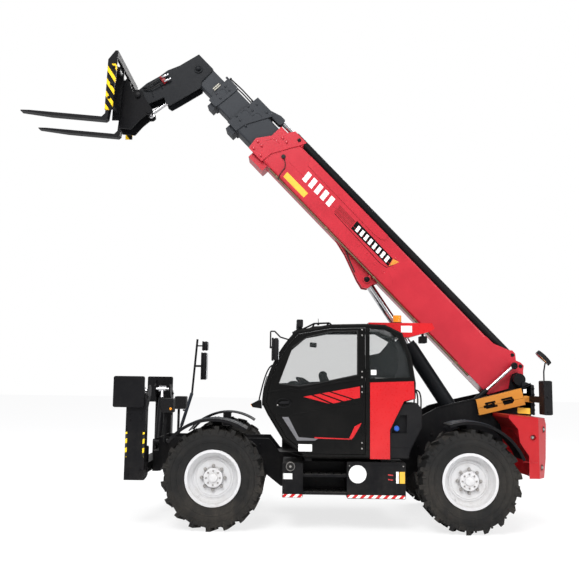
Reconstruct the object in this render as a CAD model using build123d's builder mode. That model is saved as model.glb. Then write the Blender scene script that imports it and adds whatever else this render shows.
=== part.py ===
from build123d import *
from collections import namedtuple
from math import cos, radians, sin
import os

# Telehandler with a four-section telescopic boom, all-wheel steering and front stabilisers.
# Millimetres. The machine's own datum is on the ground midway between the axles, +X forward, +Y to
# its left, +Z up. Every plane below is shifted by X_MID, so that the written pieces stand with their
# origin at the bottom centre of the whole machine.
os.makedirs("parts", exist_ok=True)

# ------------------------------------------------------------------ driving dimensions
WHEELBASE = 3100
AXLE_X = WHEELBASE / 2
TRACK_HALF = 995            # wheel centre plane
KINGPIN_Y = 780
LUG_TOP = 620               # flat top of a tread lug, from the axle
AXLE_Z = LUG_TOP
TYRE_HALF = 202.5           # half of the tyre's width
RIM_SEAT = 305              # radius where the tyre sits on the rim
SPINDLE_RADIUS = 60
RUN = 0.3                   # clearance of parts that turn or slide on each other
SWING = 6                   # clearance of parts that move past each other

BOOM_ANGLE = 46             # stored boom angle above level
PIVOT_X, PIVOT_Z = -2420, 1852
TILT_PIVOT = (6495, -1054)  # along and above the boom's own axis
FORK_TIP = (1519, -448)     # from the tilt pivot, along the blades and up
FORK_ANGLE = 4.6            # blades above level
REAR_X = -2600              # back of the tow clevis

PLATE_Y, PLATE_THICK = 335, 25          # inner face and thickness of the chassis side plates
CAB_IN, CAB_OUT, CAB_WALL = 250, 1150, 45
CAB_FLOOR = 870             # underside of the cab
BOX_TOP = 833               # top of the boxes below it
BODY_SIDE = 1150                        # outer face of boxes and hood

along = Vector(cos(radians(BOOM_ANGLE)), 0, sin(radians(BOOM_ANGLE)))
above = Vector(-sin(radians(BOOM_ANGLE)), 0, cos(radians(BOOM_ANGLE)))
fork_along = Vector(cos(radians(FORK_ANGLE)), 0, sin(radians(FORK_ANGLE)))
fork_above = Vector(-sin(radians(FORK_ANGLE)), 0, cos(radians(FORK_ANGLE)))


def boom_xz(u, w):
    """Machine x and z of a point u along and w above the boom's axis through its pivot."""
    p = Vector(PIVOT_X, 0, PIVOT_Z) + along * u + above * w
    return (p.X, p.Z)


tilt_x, tilt_z = boom_xz(*TILT_PIVOT)
TIP_X = tilt_x + FORK_TIP[0] * fork_along.X + FORK_TIP[1] * fork_above.X
X_MID = (REAR_X + TIP_X) / 2


# ------------------------------------------------------------------ planes and small helpers
def at(x, y, z):
    """A point given in the machine's datum."""
    return Vector(x - X_MID, y, z)


def side(y=0):
    """Side view at this y: drawn x forward, z up; extrusion goes towards -Y."""
    return Plane(origin=at(0, y, 0), x_dir=(1, 0, 0), z_dir=(0, -1, 0))


def across(x=0):
    """View along the machine at this x: drawn y to the left, z up; extrusion goes forward."""
    return Plane(origin=at(x, 0, 0), x_dir=(0, 1, 0), z_dir=(1, 0, 0))


def level(z=0):
    """Plan at this height: drawn x forward, y left; extrusion goes up."""
    return Plane(origin=at(0, 0, z), x_dir=(1, 0, 0), z_dir=(0, 0, 1))


def boom_side(y=0):
    """Side view of the boom at this y: drawn u along, w above; extrusion goes towards -Y."""
    return Plane(origin=at(PIVOT_X, y, PIVOT_Z), x_dir=along, z_dir=(0, -1, 0))


def boom_cross(u):
    """Cross-section of the boom: drawn y left, w above; extrusion goes along the boom."""
    x, z = boom_xz(u, 0)
    return Plane(origin=at(x, 0, z), x_dir=(0, 1, 0), z_dir=along)


def fork_side(y=0):
    """Side view of the fork carriage at this y, drawn from the tilt pivot along the blades."""
    return Plane(origin=at(tilt_x, y, tilt_z), x_dir=fork_along, z_dir=(0, -1, 0))


def outline(plane, points, rounding=0, inset=0):
    """A flat face through these corners, all rounded alike, or drawn in all round by the inset."""
    with BuildSketch(plane) as face:
        with BuildLine():
            Polyline(*points, close=True)
        make_face()
        if rounding:
            fillet(face.vertices(), rounding)
        if inset:
            offset(amount=-inset, kind=Kind.INTERSECTION)
    return face.sketch


def slab(plane, points, thick, rounding=0, mode=Mode.ADD):
    extrude(outline(plane, points, rounding), amount=thick, mode=mode)


def bar(plane, centre, radius, length, mode=Mode.ADD):
    """A round bar from the plane along its normal."""
    with BuildSketch(plane) as end:
        with Locations(centre):
            Circle(radius)
    extrude(end.sketch, amount=length, mode=mode)


def block(x, y, z, mode=Mode.ADD, rounding=0):
    """A box between two x, two y and two z values."""
    corners = [(x[0], z[0]), (x[1], z[0]), (x[1], z[1]), (x[0], z[1])]
    slab(side(y[1]), corners, y[1] - y[0], rounding, mode)


def tube_through(points, radius, bend):
    """A round rod along straight runs joined by tangent arcs; points in the machine's datum."""
    with BuildLine() as route:
        FilletPolyline(*[at(*p) for p in points], radius=bend)
    with BuildSketch(Plane(origin=route.line @ 0, z_dir=route.line % 0)) as end:
        Circle(radius)
    sweep(end.sketch, path=route.line)


def box_outline(plane, half_width, low, high, rounding):
    with BuildSketch(plane) as face:
        with Locations((0, (low + high) / 2)):
            RectangleRounded(2 * half_width, high - low, rounding)
    return face.sketch


def write(part, node):
    part.label = node
    export_step(part, f"parts/{node}.step")


# ------------------------------------------------------------------ wheels
Corner = namedtuple("Corner", "name x hand fender_from fender_to fender_radius")
CORNERS = [
    Corner("front_left", AXLE_X, 1, 37, 124, 700),
    Corner("front_right", AXLE_X, -1, 37, 124, 700),
    Corner("rear_left", -AXLE_X, 1, 70, 158, 703),
    Corner("rear_right", -AXLE_X, -1, 70, 158, 703),
]
LUGS = 18                   # in each of the two rows
LUG_DEPTH = 85
FLATS = 36                  # flats round a tyre, two to each lug of a row
FENDER_THICK = 12
FENDER_IN, FENDER_OUT = 770, 1198
HUB_FACE = 58               # inner face of the rim's disc, outward of the wheel's centre plane
HUB_BORE_DEPTH = 50

# rings of the tyre: outward distance from the wheel's centre plane, and radius
TREAD_RINGS = [(-TYRE_HALF, 475), (-188, 572), (0, 598), (188, 572), (TYRE_HALF, 475)]
BEAD_OUT = 165
SIDEWALL_RINGS = [(BEAD_OUT, 342), (180, 357), (TYRE_HALF, 455)]
# radius and outward distance from the wheel's centre plane
RIM_PROFILE = [
    (0, HUB_FACE), (262, HUB_FACE), (283, 112), (283, -178), (338, -178), (338, -165.5),
    (RIM_SEAT, -165.5), (RIM_SEAT, 165.5), (338, 165.5), (338, 178), (306, 180), (284, 122),
    (252, 74), (120, 74), (114, 122), (0, 122)]
LUG_OUTLINE = [(4, -70), (192, 14), (192, 66), (4, -16)]
STUD_CIRCLE, STUDS, STUD_RADIUS = 142, 8, 13


def wheel_plane(corner, out=0):
    """Seen from outside the wheel, its z pointing outwards along the axle."""
    y = corner.hand * (TRACK_HALF + out)
    return Plane(origin=at(corner.x, y, AXLE_Z), x_dir=(1, 0, 0), z_dir=(0, corner.hand, 0))


def axle_section(corner):
    """Half-plane through the axle: drawn radius forward, y outwards from the wheel's centre."""
    centre = at(corner.x, corner.hand * TRACK_HALF, AXLE_Z)
    return Plane(origin=centre, x_dir=(1, 0, 0), z_dir=(0, 0, corner.hand))


def lug_planes(corner, row):
    """Planes on the lugs' flat tops; the two rows are mirrored and half a pitch apart."""
    planes = []
    for k in range(LUGS):
        turn = radians(90 + (k + (0.5 if row < 0 else 0)) * 360 / LUGS)
        radial = Vector(cos(turn), 0, sin(turn))
        centre = at(corner.x, corner.hand * TRACK_HALF, AXLE_Z) + radial * LUG_TOP
        planes.append(Plane(origin=centre, x_dir=(0, row * corner.hand, 0), z_dir=radial))
    return planes


def drum(corner, rings, mode=Mode.ADD):
    """A body of flats round the axle, through rings given by distance outward and radius."""
    sections = []
    for out, radius in rings:
        with BuildSketch(wheel_plane(corner, out)) as ring:
            RegularPolygon(radius, FLATS, major_radius=False)
        sections.append(ring.sketch)
    loft(sections, ruled=True, mode=mode)


for corner in CORNERS:
    axle = Axis(at(corner.x, 0, AXLE_Z), (0, 1, 0))

    with BuildPart() as tyre:
        drum(corner, TREAD_RINGS)
        for row in (1, -1):
            turned = [(a, c if row * corner.hand > 0 else -c) for a, c in LUG_OUTLINE]
            with BuildSketch(*lug_planes(corner, row)) as tops:
                with BuildLine():
                    Polyline(*turned, close=True)
                make_face()
            extrude(tops.sketch, amount=-LUG_DEPTH)
        drum(corner, SIDEWALL_RINGS, Mode.SUBTRACT)
        drum(corner, [(-out, radius) for out, radius in SIDEWALL_RINGS], Mode.SUBTRACT)
        drum(corner, [(-BEAD_OUT, RIM_SEAT), (BEAD_OUT, RIM_SEAT)], Mode.SUBTRACT)
    write(tyre.part, f"tyre_{corner.name}")

    with BuildPart() as rim:
        with BuildSketch(axle_section(corner)):
            with BuildLine():
                Polyline(*RIM_PROFILE, close=True)
            make_face()
        revolve(axis=axle)
        with BuildSketch(wheel_plane(corner, 74)):
            with PolarLocations(STUD_CIRCLE, STUDS):
                Circle(STUD_RADIUS)
        extrude(amount=22)
        bar(wheel_plane(corner, HUB_FACE), (0, 0), SPINDLE_RADIUS + RUN, HUB_BORE_DEPTH, Mode.SUBTRACT)
    write(rim.part, f"rim_{corner.name}")


# ------------------------------------------------------------------ axles, knuckles and fenders
BOSS_RADIUS, BOSS_HALF = 72, 140        # the axle beam's kingpin bosses
KINGPIN_RADIUS, KINGPIN_DEPTH = 32, 55
ARM_GAP, ARM_THICK = 10, 40             # knuckle arms over and under the bosses
CARRIER_IN, CARRIER_OUT = 868, 905      # the knuckle's upright disc
AXLE_SEAT_Z = 770                       # underside of the side plates over the axles
PROPSHAFT_RADIUS = 38
GEARBOX_X = 420                         # ends of the gearbox, in front of and behind the middle
STEER_RAM_X = 135

for name, x in (("front_axle", AXLE_X), ("rear_axle", -AXLE_X)):
    inward = -1 if x > 0 else 1
    with BuildPart() as axle_beam:
        bar(side(KINGPIN_Y), (x, AXLE_Z), 92, 2 * KINGPIN_Y)
        bar(side(170), (x, AXLE_Z), 145, 340)
        bar(side(330), (x - inward * STEER_RAM_X, AXLE_Z), 42, 660)
        for hand in (1, -1):
            bar(level(AXLE_Z - BOSS_HALF), (x, hand * KINGPIN_Y), BOSS_RADIUS, 2 * BOSS_HALF)
            pad = (PLATE_Y - 70, PLATE_Y + PLATE_THICK)
            block((x - 110, x + 110), (min(hand * pad[0], hand * pad[1]), max(hand * pad[0], hand * pad[1])),
                  (AXLE_Z + 40, AXLE_SEAT_Z))
        nose = (x, x + inward * 330)
        block((min(nose), max(nose)), (-70, 70), (AXLE_Z - 70, AXLE_Z + 70), rounding=20)
        shaft_from = x + inward * 330
        shaft_to = -inward * GEARBOX_X
        bar(across(min(shaft_from, shaft_to)), (0, AXLE_Z), PROPSHAFT_RADIUS, abs(shaft_to - shaft_from))
        for hand in (1, -1):
            for low, high in ((-BOSS_HALF, -BOSS_HALF + KINGPIN_DEPTH), (BOSS_HALF - KINGPIN_DEPTH, BOSS_HALF)):
                bar(level(AXLE_Z + low), (x, hand * KINGPIN_Y), KINGPIN_RADIUS + RUN, high - low, Mode.SUBTRACT)
    write(axle_beam.part, name)


def arc_band(plane, centre, radius, thick, from_angle, to_angle):
    """A curved strip about the centre, its inner face at this radius."""
    sweep_angle = to_angle - from_angle
    with BuildSketch(plane) as band:
        with BuildLine():
            outer = CenterArc(centre, radius + thick, from_angle, sweep_angle)
            inner = CenterArc(centre, radius, from_angle, sweep_angle)
            Line(outer @ 0, inner @ 0)
            Line(outer @ 1, inner @ 1)
        make_face()
    return band.sketch


def ordered(hand, a, b):
    """The two y values on this side of the machine, smaller first."""
    return (min(hand * a, hand * b), max(hand * a, hand * b))


BRACKET_IN, BRACKET_THICK, BRACKET_HALF = 735, 12, 60
LIP_DEPTH, LIP_WIDTH = 22, 10

for corner in CORNERS:
    hand, x = corner.hand, corner.x
    outward = Plane(origin=at(x, hand * CARRIER_IN, AXLE_Z), x_dir=(1, 0, 0), z_dir=(0, hand, 0))
    with BuildPart() as knuckle:
        bar(outward, (0, 0), 200, CARRIER_OUT - CARRIER_IN)
        bar(outward, (0, 0), 150, TRACK_HALF + HUB_FACE - 8 - CARRIER_IN)
        bar(outward, (0, 0), SPINDLE_RADIUS, TRACK_HALF + HUB_FACE + HUB_BORE_DEPTH - 4 - CARRIER_IN)
        arm_low = AXLE_Z + BOSS_HALF + ARM_GAP
        for z in (arm_low, 2 * AXLE_Z - arm_low - ARM_THICK):
            y0, y1 = ordered(hand, BRACKET_IN - 15, CARRIER_IN + 1)
            block((x - 70, x + 70), (y0, y1), (z, z + ARM_THICK))
        pin_base = AXLE_Z + BOSS_HALF + ARM_GAP
        pin_length = ARM_GAP + KINGPIN_DEPTH - 4
        bar(level(pin_base - pin_length), (x, hand * KINGPIN_Y), KINGPIN_RADIUS, pin_length)
        bar(level(2 * AXLE_Z - pin_base), (x, hand * KINGPIN_Y), KINGPIN_RADIUS, pin_length)
        # the fender's bracket rises inside the tyre and carries the curved fender over it
        top = AXLE_Z + corner.fender_radius
        block((x - BRACKET_HALF, x + BRACKET_HALF), ordered(hand, BRACKET_IN, BRACKET_IN + BRACKET_THICK),
              (arm_low + ARM_THICK, top + FENDER_THICK / 2))
        block((x - BRACKET_HALF, x + BRACKET_HALF), ordered(hand, BRACKET_IN, FENDER_IN + 60),
              (top - 12, top + FENDER_THICK / 2))
        y_from = max(ordered(hand, FENDER_IN, FENDER_OUT))
        band = arc_band(side(y_from), (x, AXLE_Z), corner.fender_radius, FENDER_THICK,
                        corner.fender_from, corner.fender_to)
        extrude(band, amount=FENDER_OUT - FENDER_IN)
        y_lip = max(ordered(hand, FENDER_OUT - LIP_WIDTH, FENDER_OUT))
        lip = arc_band(side(y_lip), (x, AXLE_Z), corner.fender_radius - LIP_DEPTH, LIP_DEPTH + FENDER_THICK,
                       corner.fender_from, corner.fender_to)
        extrude(lip, amount=LIP_WIDTH)
    write(knuckle.part, f"knuckle_{corner.name}")


# ------------------------------------------------------------------ hydraulic rams
Ram = namedtuple("Ram", "name foot head body tube wall rod rod_length eye eye_width pin cross open_end")
# foot and head: eye centres; body: gland's front face from the foot; tube: outer radius; rod: radius;
# eye: outer radius; cross: half length of the pin that an open eye carries; open_end: eye left off its pin
LIFT_HEAD = (2368, -511)
LIFT_LENGTH, LIFT_ANGLE = 2600, 56.6
lift_head_x, lift_head_z = boom_xz(*LIFT_HEAD)
lift_foot_x = lift_head_x - LIFT_LENGTH * cos(radians(LIFT_ANGLE))
lift_foot_z = lift_head_z - LIFT_LENGTH * sin(radians(LIFT_ANGLE))
LEVEL_HEAD = (170, 85)
LEVEL_FOOT = (-1427, 1205)
LEVEL_Y = 270
TILT_FOOT = (6110, -165)
TILT_HEAD = (6214, -1094)
STAB_X = 2520
STAB_FOOT = (550, 900)
STAB_HEAD = (800, 1650)


def boom_point(u, w, y=0):
    x, z = boom_xz(u, w)
    return at(x, y, z)


RAMS = [
    Ram("lift", at(lift_foot_x, 0, lift_foot_z), at(lift_head_x, 0, lift_head_z),
        1550, 104, 14, 54, 1600, 88, 148, 40, 0, "foot"),
    Ram("level", at(LEVEL_FOOT[0], LEVEL_Y, LEVEL_FOOT[1]), boom_point(*LEVEL_HEAD, LEVEL_Y),
        760, 36, 8, 22, 800, 42, 60, 18, 0, "head"),
    Ram("tilt", boom_point(*TILT_FOOT), boom_point(*TILT_HEAD),
        560, 46, 8, 27, 620, 44, 64, 22, 121.7, "head"),
]
for hand, name in ((1, "left"), (-1, "right")):
    RAMS.append(Ram(f"stabiliser_{name}", at(STAB_X, hand * STAB_FOOT[0], STAB_FOOT[1]),
                    at(STAB_X, hand * STAB_HEAD[0], STAB_HEAD[1]),
                    650, 50, 9, 30, 560, 44, 104, 20, 99.7, "head"))


def ram_plane(ram, distance=0):
    """Section of the ram at this distance from its foot; x along its pins, z towards its head."""
    direction = (ram.head - ram.foot).normalized()
    pins = Vector(1, 0, 0) if "stabiliser" in ram.name else Vector(0, 1, 0)
    return Plane(origin=ram.foot + direction * distance, x_dir=pins, z_dir=direction)


def pin_plane(ram, centre, half):
    """Plane across the pins' axis, half a width to the side of the eye's centre."""
    pins = ram_plane(ram).x_dir
    return Plane(origin=centre - pins * half, x_dir=ram_plane(ram).z_dir, z_dir=pins)


def eye(ram, centre, is_open):
    bar(pin_plane(ram, centre, ram.eye_width / 2), (0, 0), ram.eye, ram.eye_width)
    if is_open and ram.cross:
        bar(pin_plane(ram, centre, ram.cross), (0, 0), ram.pin, 2 * ram.cross)
    if not is_open:
        bar(pin_plane(ram, centre, ram.eye_width / 2), (0, 0), ram.pin + RUN, ram.eye_width, Mode.SUBTRACT)


GLAND = 45
EYE_NECK = 0.9              # where a ram's tube starts, as a share of its eye's radius
for ram in RAMS:
    length = (ram.head - ram.foot).length
    with BuildPart() as barrel:
        bar(ram_plane(ram, ram.eye * EYE_NECK), (0, 0), ram.tube, ram.body - GLAND - ram.eye * EYE_NECK)
        bar(ram_plane(ram, ram.body - GLAND), (0, 0), ram.tube * 0.93, GLAND)
        bore_from = ram.eye + ram.wall
        bar(ram_plane(ram, bore_from), (0, 0), ram.tube - ram.wall, ram.body - GLAND - bore_from, Mode.SUBTRACT)
        bar(ram_plane(ram, ram.body - GLAND), (0, 0), ram.rod + RUN, GLAND, Mode.SUBTRACT)
        eye(ram, ram.foot, ram.open_end == "foot")
    write(barrel.part, f"{ram.name}_barrel")

    with BuildPart() as rod:
        bar(ram_plane(ram, length - ram.rod_length), (0, 0), ram.rod, ram.rod_length - ram.eye * 0.6)
        eye(ram, ram.head, ram.open_end == "head")
    write(rod.part, f"{ram.name}_rod")


# ------------------------------------------------------------------ boom
Section = namedtuple("Section", "name start end half low high wall rounding")
SECTIONS = [
    Section("boom_outer", 120, 4750, 190, -420, 115, 12, 30),
    Section("boom_2", 650, 5280, 160, -380, 70, 10, 26),
    Section("boom_3", 800, 5720, 131, -340, 30, 10, 22),
    Section("boom_4", 950, 6050, 102, -300, -10, 10, 18),
]
RING = 130                  # length of the wear rings at a section's mouth and at the next one's tail
BORE = 40                   # radius of the boom's pivot pin
PIVOT_BOSS = 95

# side plates of the collars, u and w
COLLARS = {
    "boom_outer": [(4840, -440), (4870, -270), (4680, 10), (4560, 200), (4330, 200), (4380, 80), (4426, 6),
                   (4490, -125), (4561, -269), (4572, -440)],
    "boom_2": [(5327, -397), (5295, 160), (5000, 160), (4955, 113), (5130, -240), (5150, -397)],
    "boom_3": [(5752, -367), (5800, -30), (5800, 60), (5620, 60), (5587, 35), (5603, -293), (5620, -367)],
}
# underside blocks of the collars: first u, last u, lowest w, half width
KEELS = {
    "boom_outer": (4480, 4760, -520, 150),
    "boom_2": (5160, 5290, -470, 125),
    "boom_3": (5620, 5720, -430, 100),
}
COLLAR_THICK = 15


def section_tube(row):
    """The hollow box of one boom section."""
    extrude(box_outline(boom_cross(row.start), row.half, row.low, row.high, row.rounding),
            amount=row.end - row.start)
    extrude(box_outline(boom_cross(row.start), row.half - row.wall, row.low + row.wall, row.high - row.wall,
                        row.rounding - row.wall + 2), amount=row.end - row.start, mode=Mode.SUBTRACT)


def ring_between(u, length, outer, inner, outer_gap, inner_gap):
    """A wear ring between the inside of one section and the outside of the next."""
    with BuildPart(mode=Mode.PRIVATE) as ring:
        extrude(box_outline(boom_cross(u), outer.half - outer.wall - outer_gap, outer.low + outer.wall + outer_gap,
                            outer.high - outer.wall - outer_gap, outer.rounding - outer.wall + 2), amount=length)
        extrude(box_outline(boom_cross(u), inner.half + inner_gap, inner.low - inner_gap,
                            inner.high + inner_gap, inner.rounding), amount=length, mode=Mode.SUBTRACT)
    return ring.part


def collar(row, following):
    """Side plates, keel and mouth ring at a section's front end."""
    for hand in (1, -1):
        y = max(hand * row.half, hand * (row.half + COLLAR_THICK))
        slab(boom_side(y), COLLARS[row.name], COLLAR_THICK)
    first, last, low, half = KEELS[row.name]
    slab(boom_side(half), [(first, low), (last, low), (last, row.low), (first, row.low)], 2 * half)
    add(ring_between(row.end - RING, RING, row, following, 0, RUN))


outer, second, third, fourth = SECTIONS
RAM_AXIS_W = 195            # extension ram above the boom's axis
EXT_FOOT_U, EXT_HEAD_U = 270, 4850
EXT_TUBE, EXT_ROD, EXT_EYE = 64, 32, 42
LUG_IN, LUG_OUT = 75, 102   # lift ram's lugs under the boom

REAR_CHEEK = [(700, 115), (552, 120), (355, 205), (312, 240), (255, 235), (185, 178), (120, 205), (62, 205),
              (20, 150), (-60, 75), (-95, 0), (-60, -75), (60, -300), (120, -420), (700, -420)]
LIFT_LUG = [(3120, -415), (2840, -475), (2460, -607), (2330, -635), (2270, -590), (2262, -500), (2225, -415)]
UPPER_DOUBLER = [(2590, 112), (2583, 40), (2640, 2), (2750, -13), (4080, -13), (4150, 112)]
DOUBLER_THICK = 8
LIFTING_EYE = (88, 168)

with BuildPart() as boom_outer:
    section_tube(outer)
    for hand in (1, -1):
        cheek_y = max(hand * outer.half, hand * (outer.half - outer.wall))
        slab(boom_side(cheek_y), REAR_CHEEK, outer.wall)
        doubler_y = max(hand * outer.half, hand * (outer.half + DOUBLER_THICK))
        slab(boom_side(doubler_y), UPPER_DOUBLER, DOUBLER_THICK)
        lug_y = max(hand * LUG_IN, hand * LUG_OUT)
        slab(boom_side(lug_y), LIFT_LUG, LUG_OUT - LUG_IN)
        bar(boom_side(max(hand * LUG_OUT, hand * (LUG_OUT + 20))), LIFT_HEAD, 52, 20)
        bar(boom_side(max(hand * 60, hand * (outer.half - 1))), (EXT_FOOT_U, RAM_AXIS_W), 34, outer.half - 61)
    # web that closes the lug's front, clear of the ram's eye
    slab(boom_side(LUG_IN), [(3060, -415), (2840, -458), (2560, -555), (2550, -535), (2840, -437), (2960, -415)],
         2 * LUG_IN)
    bar(boom_side(LUG_IN), LIFT_HEAD, BORE, 2 * LUG_IN)
    bar(boom_side(outer.half), (0, 0), PIVOT_BOSS, 2 * outer.half)
    bar(boom_side(outer.half - 1), (EXT_FOOT_U, RAM_AXIS_W), 22, 2 * outer.half - 2)
    collar(outer, second)
    # saddle that holds the extension ram's front end
    slab(boom_side(190), [(4340, 110), (4540, 110), (4540, 150), (4340, 150)], 380)
    # pin of the levelling ram on the left side
    bar(boom_side(LEVEL_Y - 30 - RUN), LEVEL_HEAD, 30, LEVEL_Y - 30 - RUN - outer.half)
    bar(boom_side(outer.half), (0, 0), BORE + RUN, 2 * outer.half, Mode.SUBTRACT)
    bar(boom_side(outer.half), LIFTING_EYE, 17, 2 * outer.half, Mode.SUBTRACT)
    bar(boom_cross(4330), (0, RAM_AXIS_W), EXT_TUBE, 230, Mode.SUBTRACT)
write(boom_outer.part, "boom_outer")

for row, following in ((second, third), (third, fourth)):
    before = SECTIONS[SECTIONS.index(row) - 1]
    with BuildPart() as section:
        section_tube(row)
        collar(row, following)
        add(ring_between(row.start, RING, before, row, RUN, 0))
        if row is second:
            # housing on top of the collar and the lugs of the extension rod
            slab(boom_side(row.half + COLLAR_THICK), [(5010, 118), (5285, 118), (5285, 158), (5010, 158)],
                 2 * (row.half + COLLAR_THICK))
            for hand in (1, -1):
                lug_y = max(hand * (EXT_EYE + 1), hand * (EXT_EYE + 21))
                slab(boom_side(lug_y), [(4805, 150), (4840, 128), (5150, 128), (5150, 157), (4900, 240),
                                        (4820, 240), (4805, 225)], 20)
            bar(boom_side(EXT_EYE + 1), (EXT_HEAD_U, RAM_AXIS_W), 20, 2 * EXT_EYE + 2)
        if row is third:
            slab(boom_side(row.half + COLLAR_THICK), [(5625, 28), (5795, 28), (5795, 58), (5625, 58)],
                 2 * (row.half + COLLAR_THICK))
    write(section.part, row.name)

with BuildPart() as boom_4:
    section_tube(fourth)
    add(ring_between(fourth.start, RING, third, fourth, RUN, 0))
write(boom_4.part, "boom_4")

with BuildPart() as extension_barrel:
    bar(boom_cross(EXT_FOOT_U + 38), (0, RAM_AXIS_W), EXT_TUBE, 4550 - EXT_FOOT_U - 38)
    bar(boom_cross(EXT_FOOT_U + 70), (0, RAM_AXIS_W), EXT_TUBE - 10, 4510 - EXT_FOOT_U - 70, Mode.SUBTRACT)
    bar(boom_cross(4510), (0, RAM_AXIS_W), EXT_ROD + RUN, 40, Mode.SUBTRACT)
    bar(boom_side(EXT_EYE), (EXT_FOOT_U, RAM_AXIS_W), EXT_EYE, 2 * EXT_EYE)
    bar(boom_side(EXT_EYE), (EXT_FOOT_U, RAM_AXIS_W), 22, 2 * EXT_EYE, Mode.SUBTRACT)
write(extension_barrel.part, "extension_barrel")

with BuildPart() as extension_rod:
    bar(boom_cross(900), (0, RAM_AXIS_W), EXT_ROD, EXT_HEAD_U - 925)
    bar(boom_side(EXT_EYE), (EXT_HEAD_U, RAM_AXIS_W), EXT_EYE - 4, 2 * EXT_EYE)
    bar(boom_side(EXT_EYE), (EXT_HEAD_U, RAM_AXIS_W), 20, 2 * EXT_EYE, Mode.SUBTRACT)
write(extension_rod.part, "extension_rod")

PIPE_RADIUS = 9
PIPE_YS = (136, 156, 176)
PIPE_W = outer.low - PIPE_RADIUS - 3
CLAMP_US = (700, 1500, 2300, 3250, 4250)
with BuildPart() as boom_pipes:
    for y in PIPE_YS:
        bar(boom_cross(480), (y, PIPE_W), PIPE_RADIUS, 3950)
    for u in CLAMP_US:
        slab(boom_side(PIPE_YS[-1] + 14), [(u, outer.low), (u + 40, outer.low), (u + 40, PIPE_W - 15),
                                           (u, PIPE_W - 15)], PIPE_YS[-1] - PIPE_YS[0] + 28)
write(boom_pipes.part, "boom_pipes")


# ------------------------------------------------------------------ boom head and fork carriage
HEAD_IN, HEAD_OUT = 102, 120
HEAD_PLATE = [(6361, -5), (6425, -319), (6490, -490), (6505, -637), (6552, -840), (6560, -1054), (6520, -1112),
              (6440, -1105), (6331, -1075), (6232, -796), (6150, -835), (6088, -822), (6057, -690), (5980, -317),
              (6034, -248), (6046, -53), (6058, -5)]
HEAD_FRONT = [(6361, -5), (6425, -319), (6490, -490), (6505, -637), (6552, -840), (6556, -960), (6528, -960),
              (6518, -820), (6480, -645), (6464, -495), (6401, -325), (6345, -25), (6070, -25), (6060, -5)]
EAR_IN, EAR_OUT = HEAD_OUT + 4, HEAD_OUT + 32
TILT_PIN = 34

with BuildPart() as boom_head:
    for hand in (1, -1):
        slab(boom_side(max(hand * HEAD_IN, hand * HEAD_OUT)), HEAD_PLATE, HEAD_OUT - HEAD_IN)
    slab(boom_side(HEAD_IN), HEAD_FRONT, 2 * HEAD_IN)
    bar(boom_side(HEAD_IN), TILT_PIVOT, 56, 2 * HEAD_IN)
    bar(boom_side(EAR_OUT + 14), TILT_PIVOT, TILT_PIN, 2 * (EAR_OUT + 14))
    bar(boom_side(HEAD_IN), TILT_FOOT, 22, 2 * HEAD_IN)
    for hand in (1, -1):
        bar(boom_side(max(hand * HEAD_IN, hand * 33)), TILT_FOOT, 36, HEAD_IN - 33)
        bar(boom_side(max(hand * HEAD_OUT, hand * (HEAD_OUT + 10))), (6180, -180), 32, 10)
write(boom_head.part, "boom_head")

LEVER = (-184, -216)        # tilt ram's pin on the carriage, drawn on fork_side
EAR_PLATE = [(70, 40), (50, 75), (0, 85), (-60, 62), (-85, 0), (-225, -180), (-235, -225), (-200, -262),
             (-150, -268), (-60, -360), (40, -500), (205, -500), (205, 200), (150, 200)]
CARRIAGE_HALF = 650
END_PLATE = [(200, -410), (300, -420), (336, 283), (250, 420), (212, 420)]
SHAFT_AT, SHAFT_RADIUS = (268, 230), 30
RAIL = [(205, -330), (255, -330), (255, -230), (205, -230)]

with BuildPart() as fork_carriage:
    for hand in (1, -1):
        slab(fork_side(max(hand * EAR_IN, hand * EAR_OUT)), EAR_PLATE, EAR_OUT - EAR_IN)
        bar(fork_side(max(hand * EAR_OUT, hand * (EAR_OUT + 14))), LEVER, 40, 14)
        slab(fork_side(max(hand * (CARRIAGE_HALF - 30), hand * CARRIAGE_HALF)), END_PLATE, 30)
        # uprights beside the boom
        slab(fork_side(max(hand * 200, hand * 230)), END_PLATE, 30)
    slab(fork_side(CARRIAGE_HALF), RAIL, 2 * CARRIAGE_HALF)
    slab(fork_side(CARRIAGE_HALF), [(212, 330), (250, 330), (250, 420), (212, 420)], 2 * CARRIAGE_HALF)
    slab(fork_side(EAR_OUT), [(205, -500), (225, -500), (225, 200), (205, 200)], 2 * EAR_OUT)
    slab(fork_side(230), [(205, 120), (225, 120), (225, 200), (205, 200)], 460)
    slab(fork_side(230), [(205, -400), (225, -400), (225, -330), (205, -330)], 460)
    bar(fork_side(CARRIAGE_HALF), SHAFT_AT, SHAFT_RADIUS, 2 * CARRIAGE_HALF)
    bar(fork_side(EAR_OUT), (0, 0), TILT_PIN + RUN, 2 * EAR_OUT, Mode.SUBTRACT)
write(fork_carriage.part, "fork_carriage")

FORK_Y, FORK_HALF = 370, 60
# shank with its hook, heel and tapering blade
FORK = [(302, 285), (345, 285), (352, -400), (392, FORK_TIP[1]), (1400, FORK_TIP[1]), (FORK_TIP[0], FORK_TIP[1] - 8),
        (FORK_TIP[0], FORK_TIP[1] - 20), (1100, FORK_TIP[1] - 45), (340, FORK_TIP[1] - 47), (310, FORK_TIP[1] - 20),
        (302, -330)]
with BuildPart() as forks:
    for y in (FORK_Y, -FORK_Y):
        slab(fork_side(y + FORK_HALF), FORK, 2 * FORK_HALF)
        bar(fork_side(y + FORK_HALF), SHAFT_AT, SHAFT_RADIUS + 26, 2 * FORK_HALF)
        bar(fork_side(y + FORK_HALF), SHAFT_AT, SHAFT_RADIUS, 2 * FORK_HALF, Mode.SUBTRACT)
write(forks.part, "forks")


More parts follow.
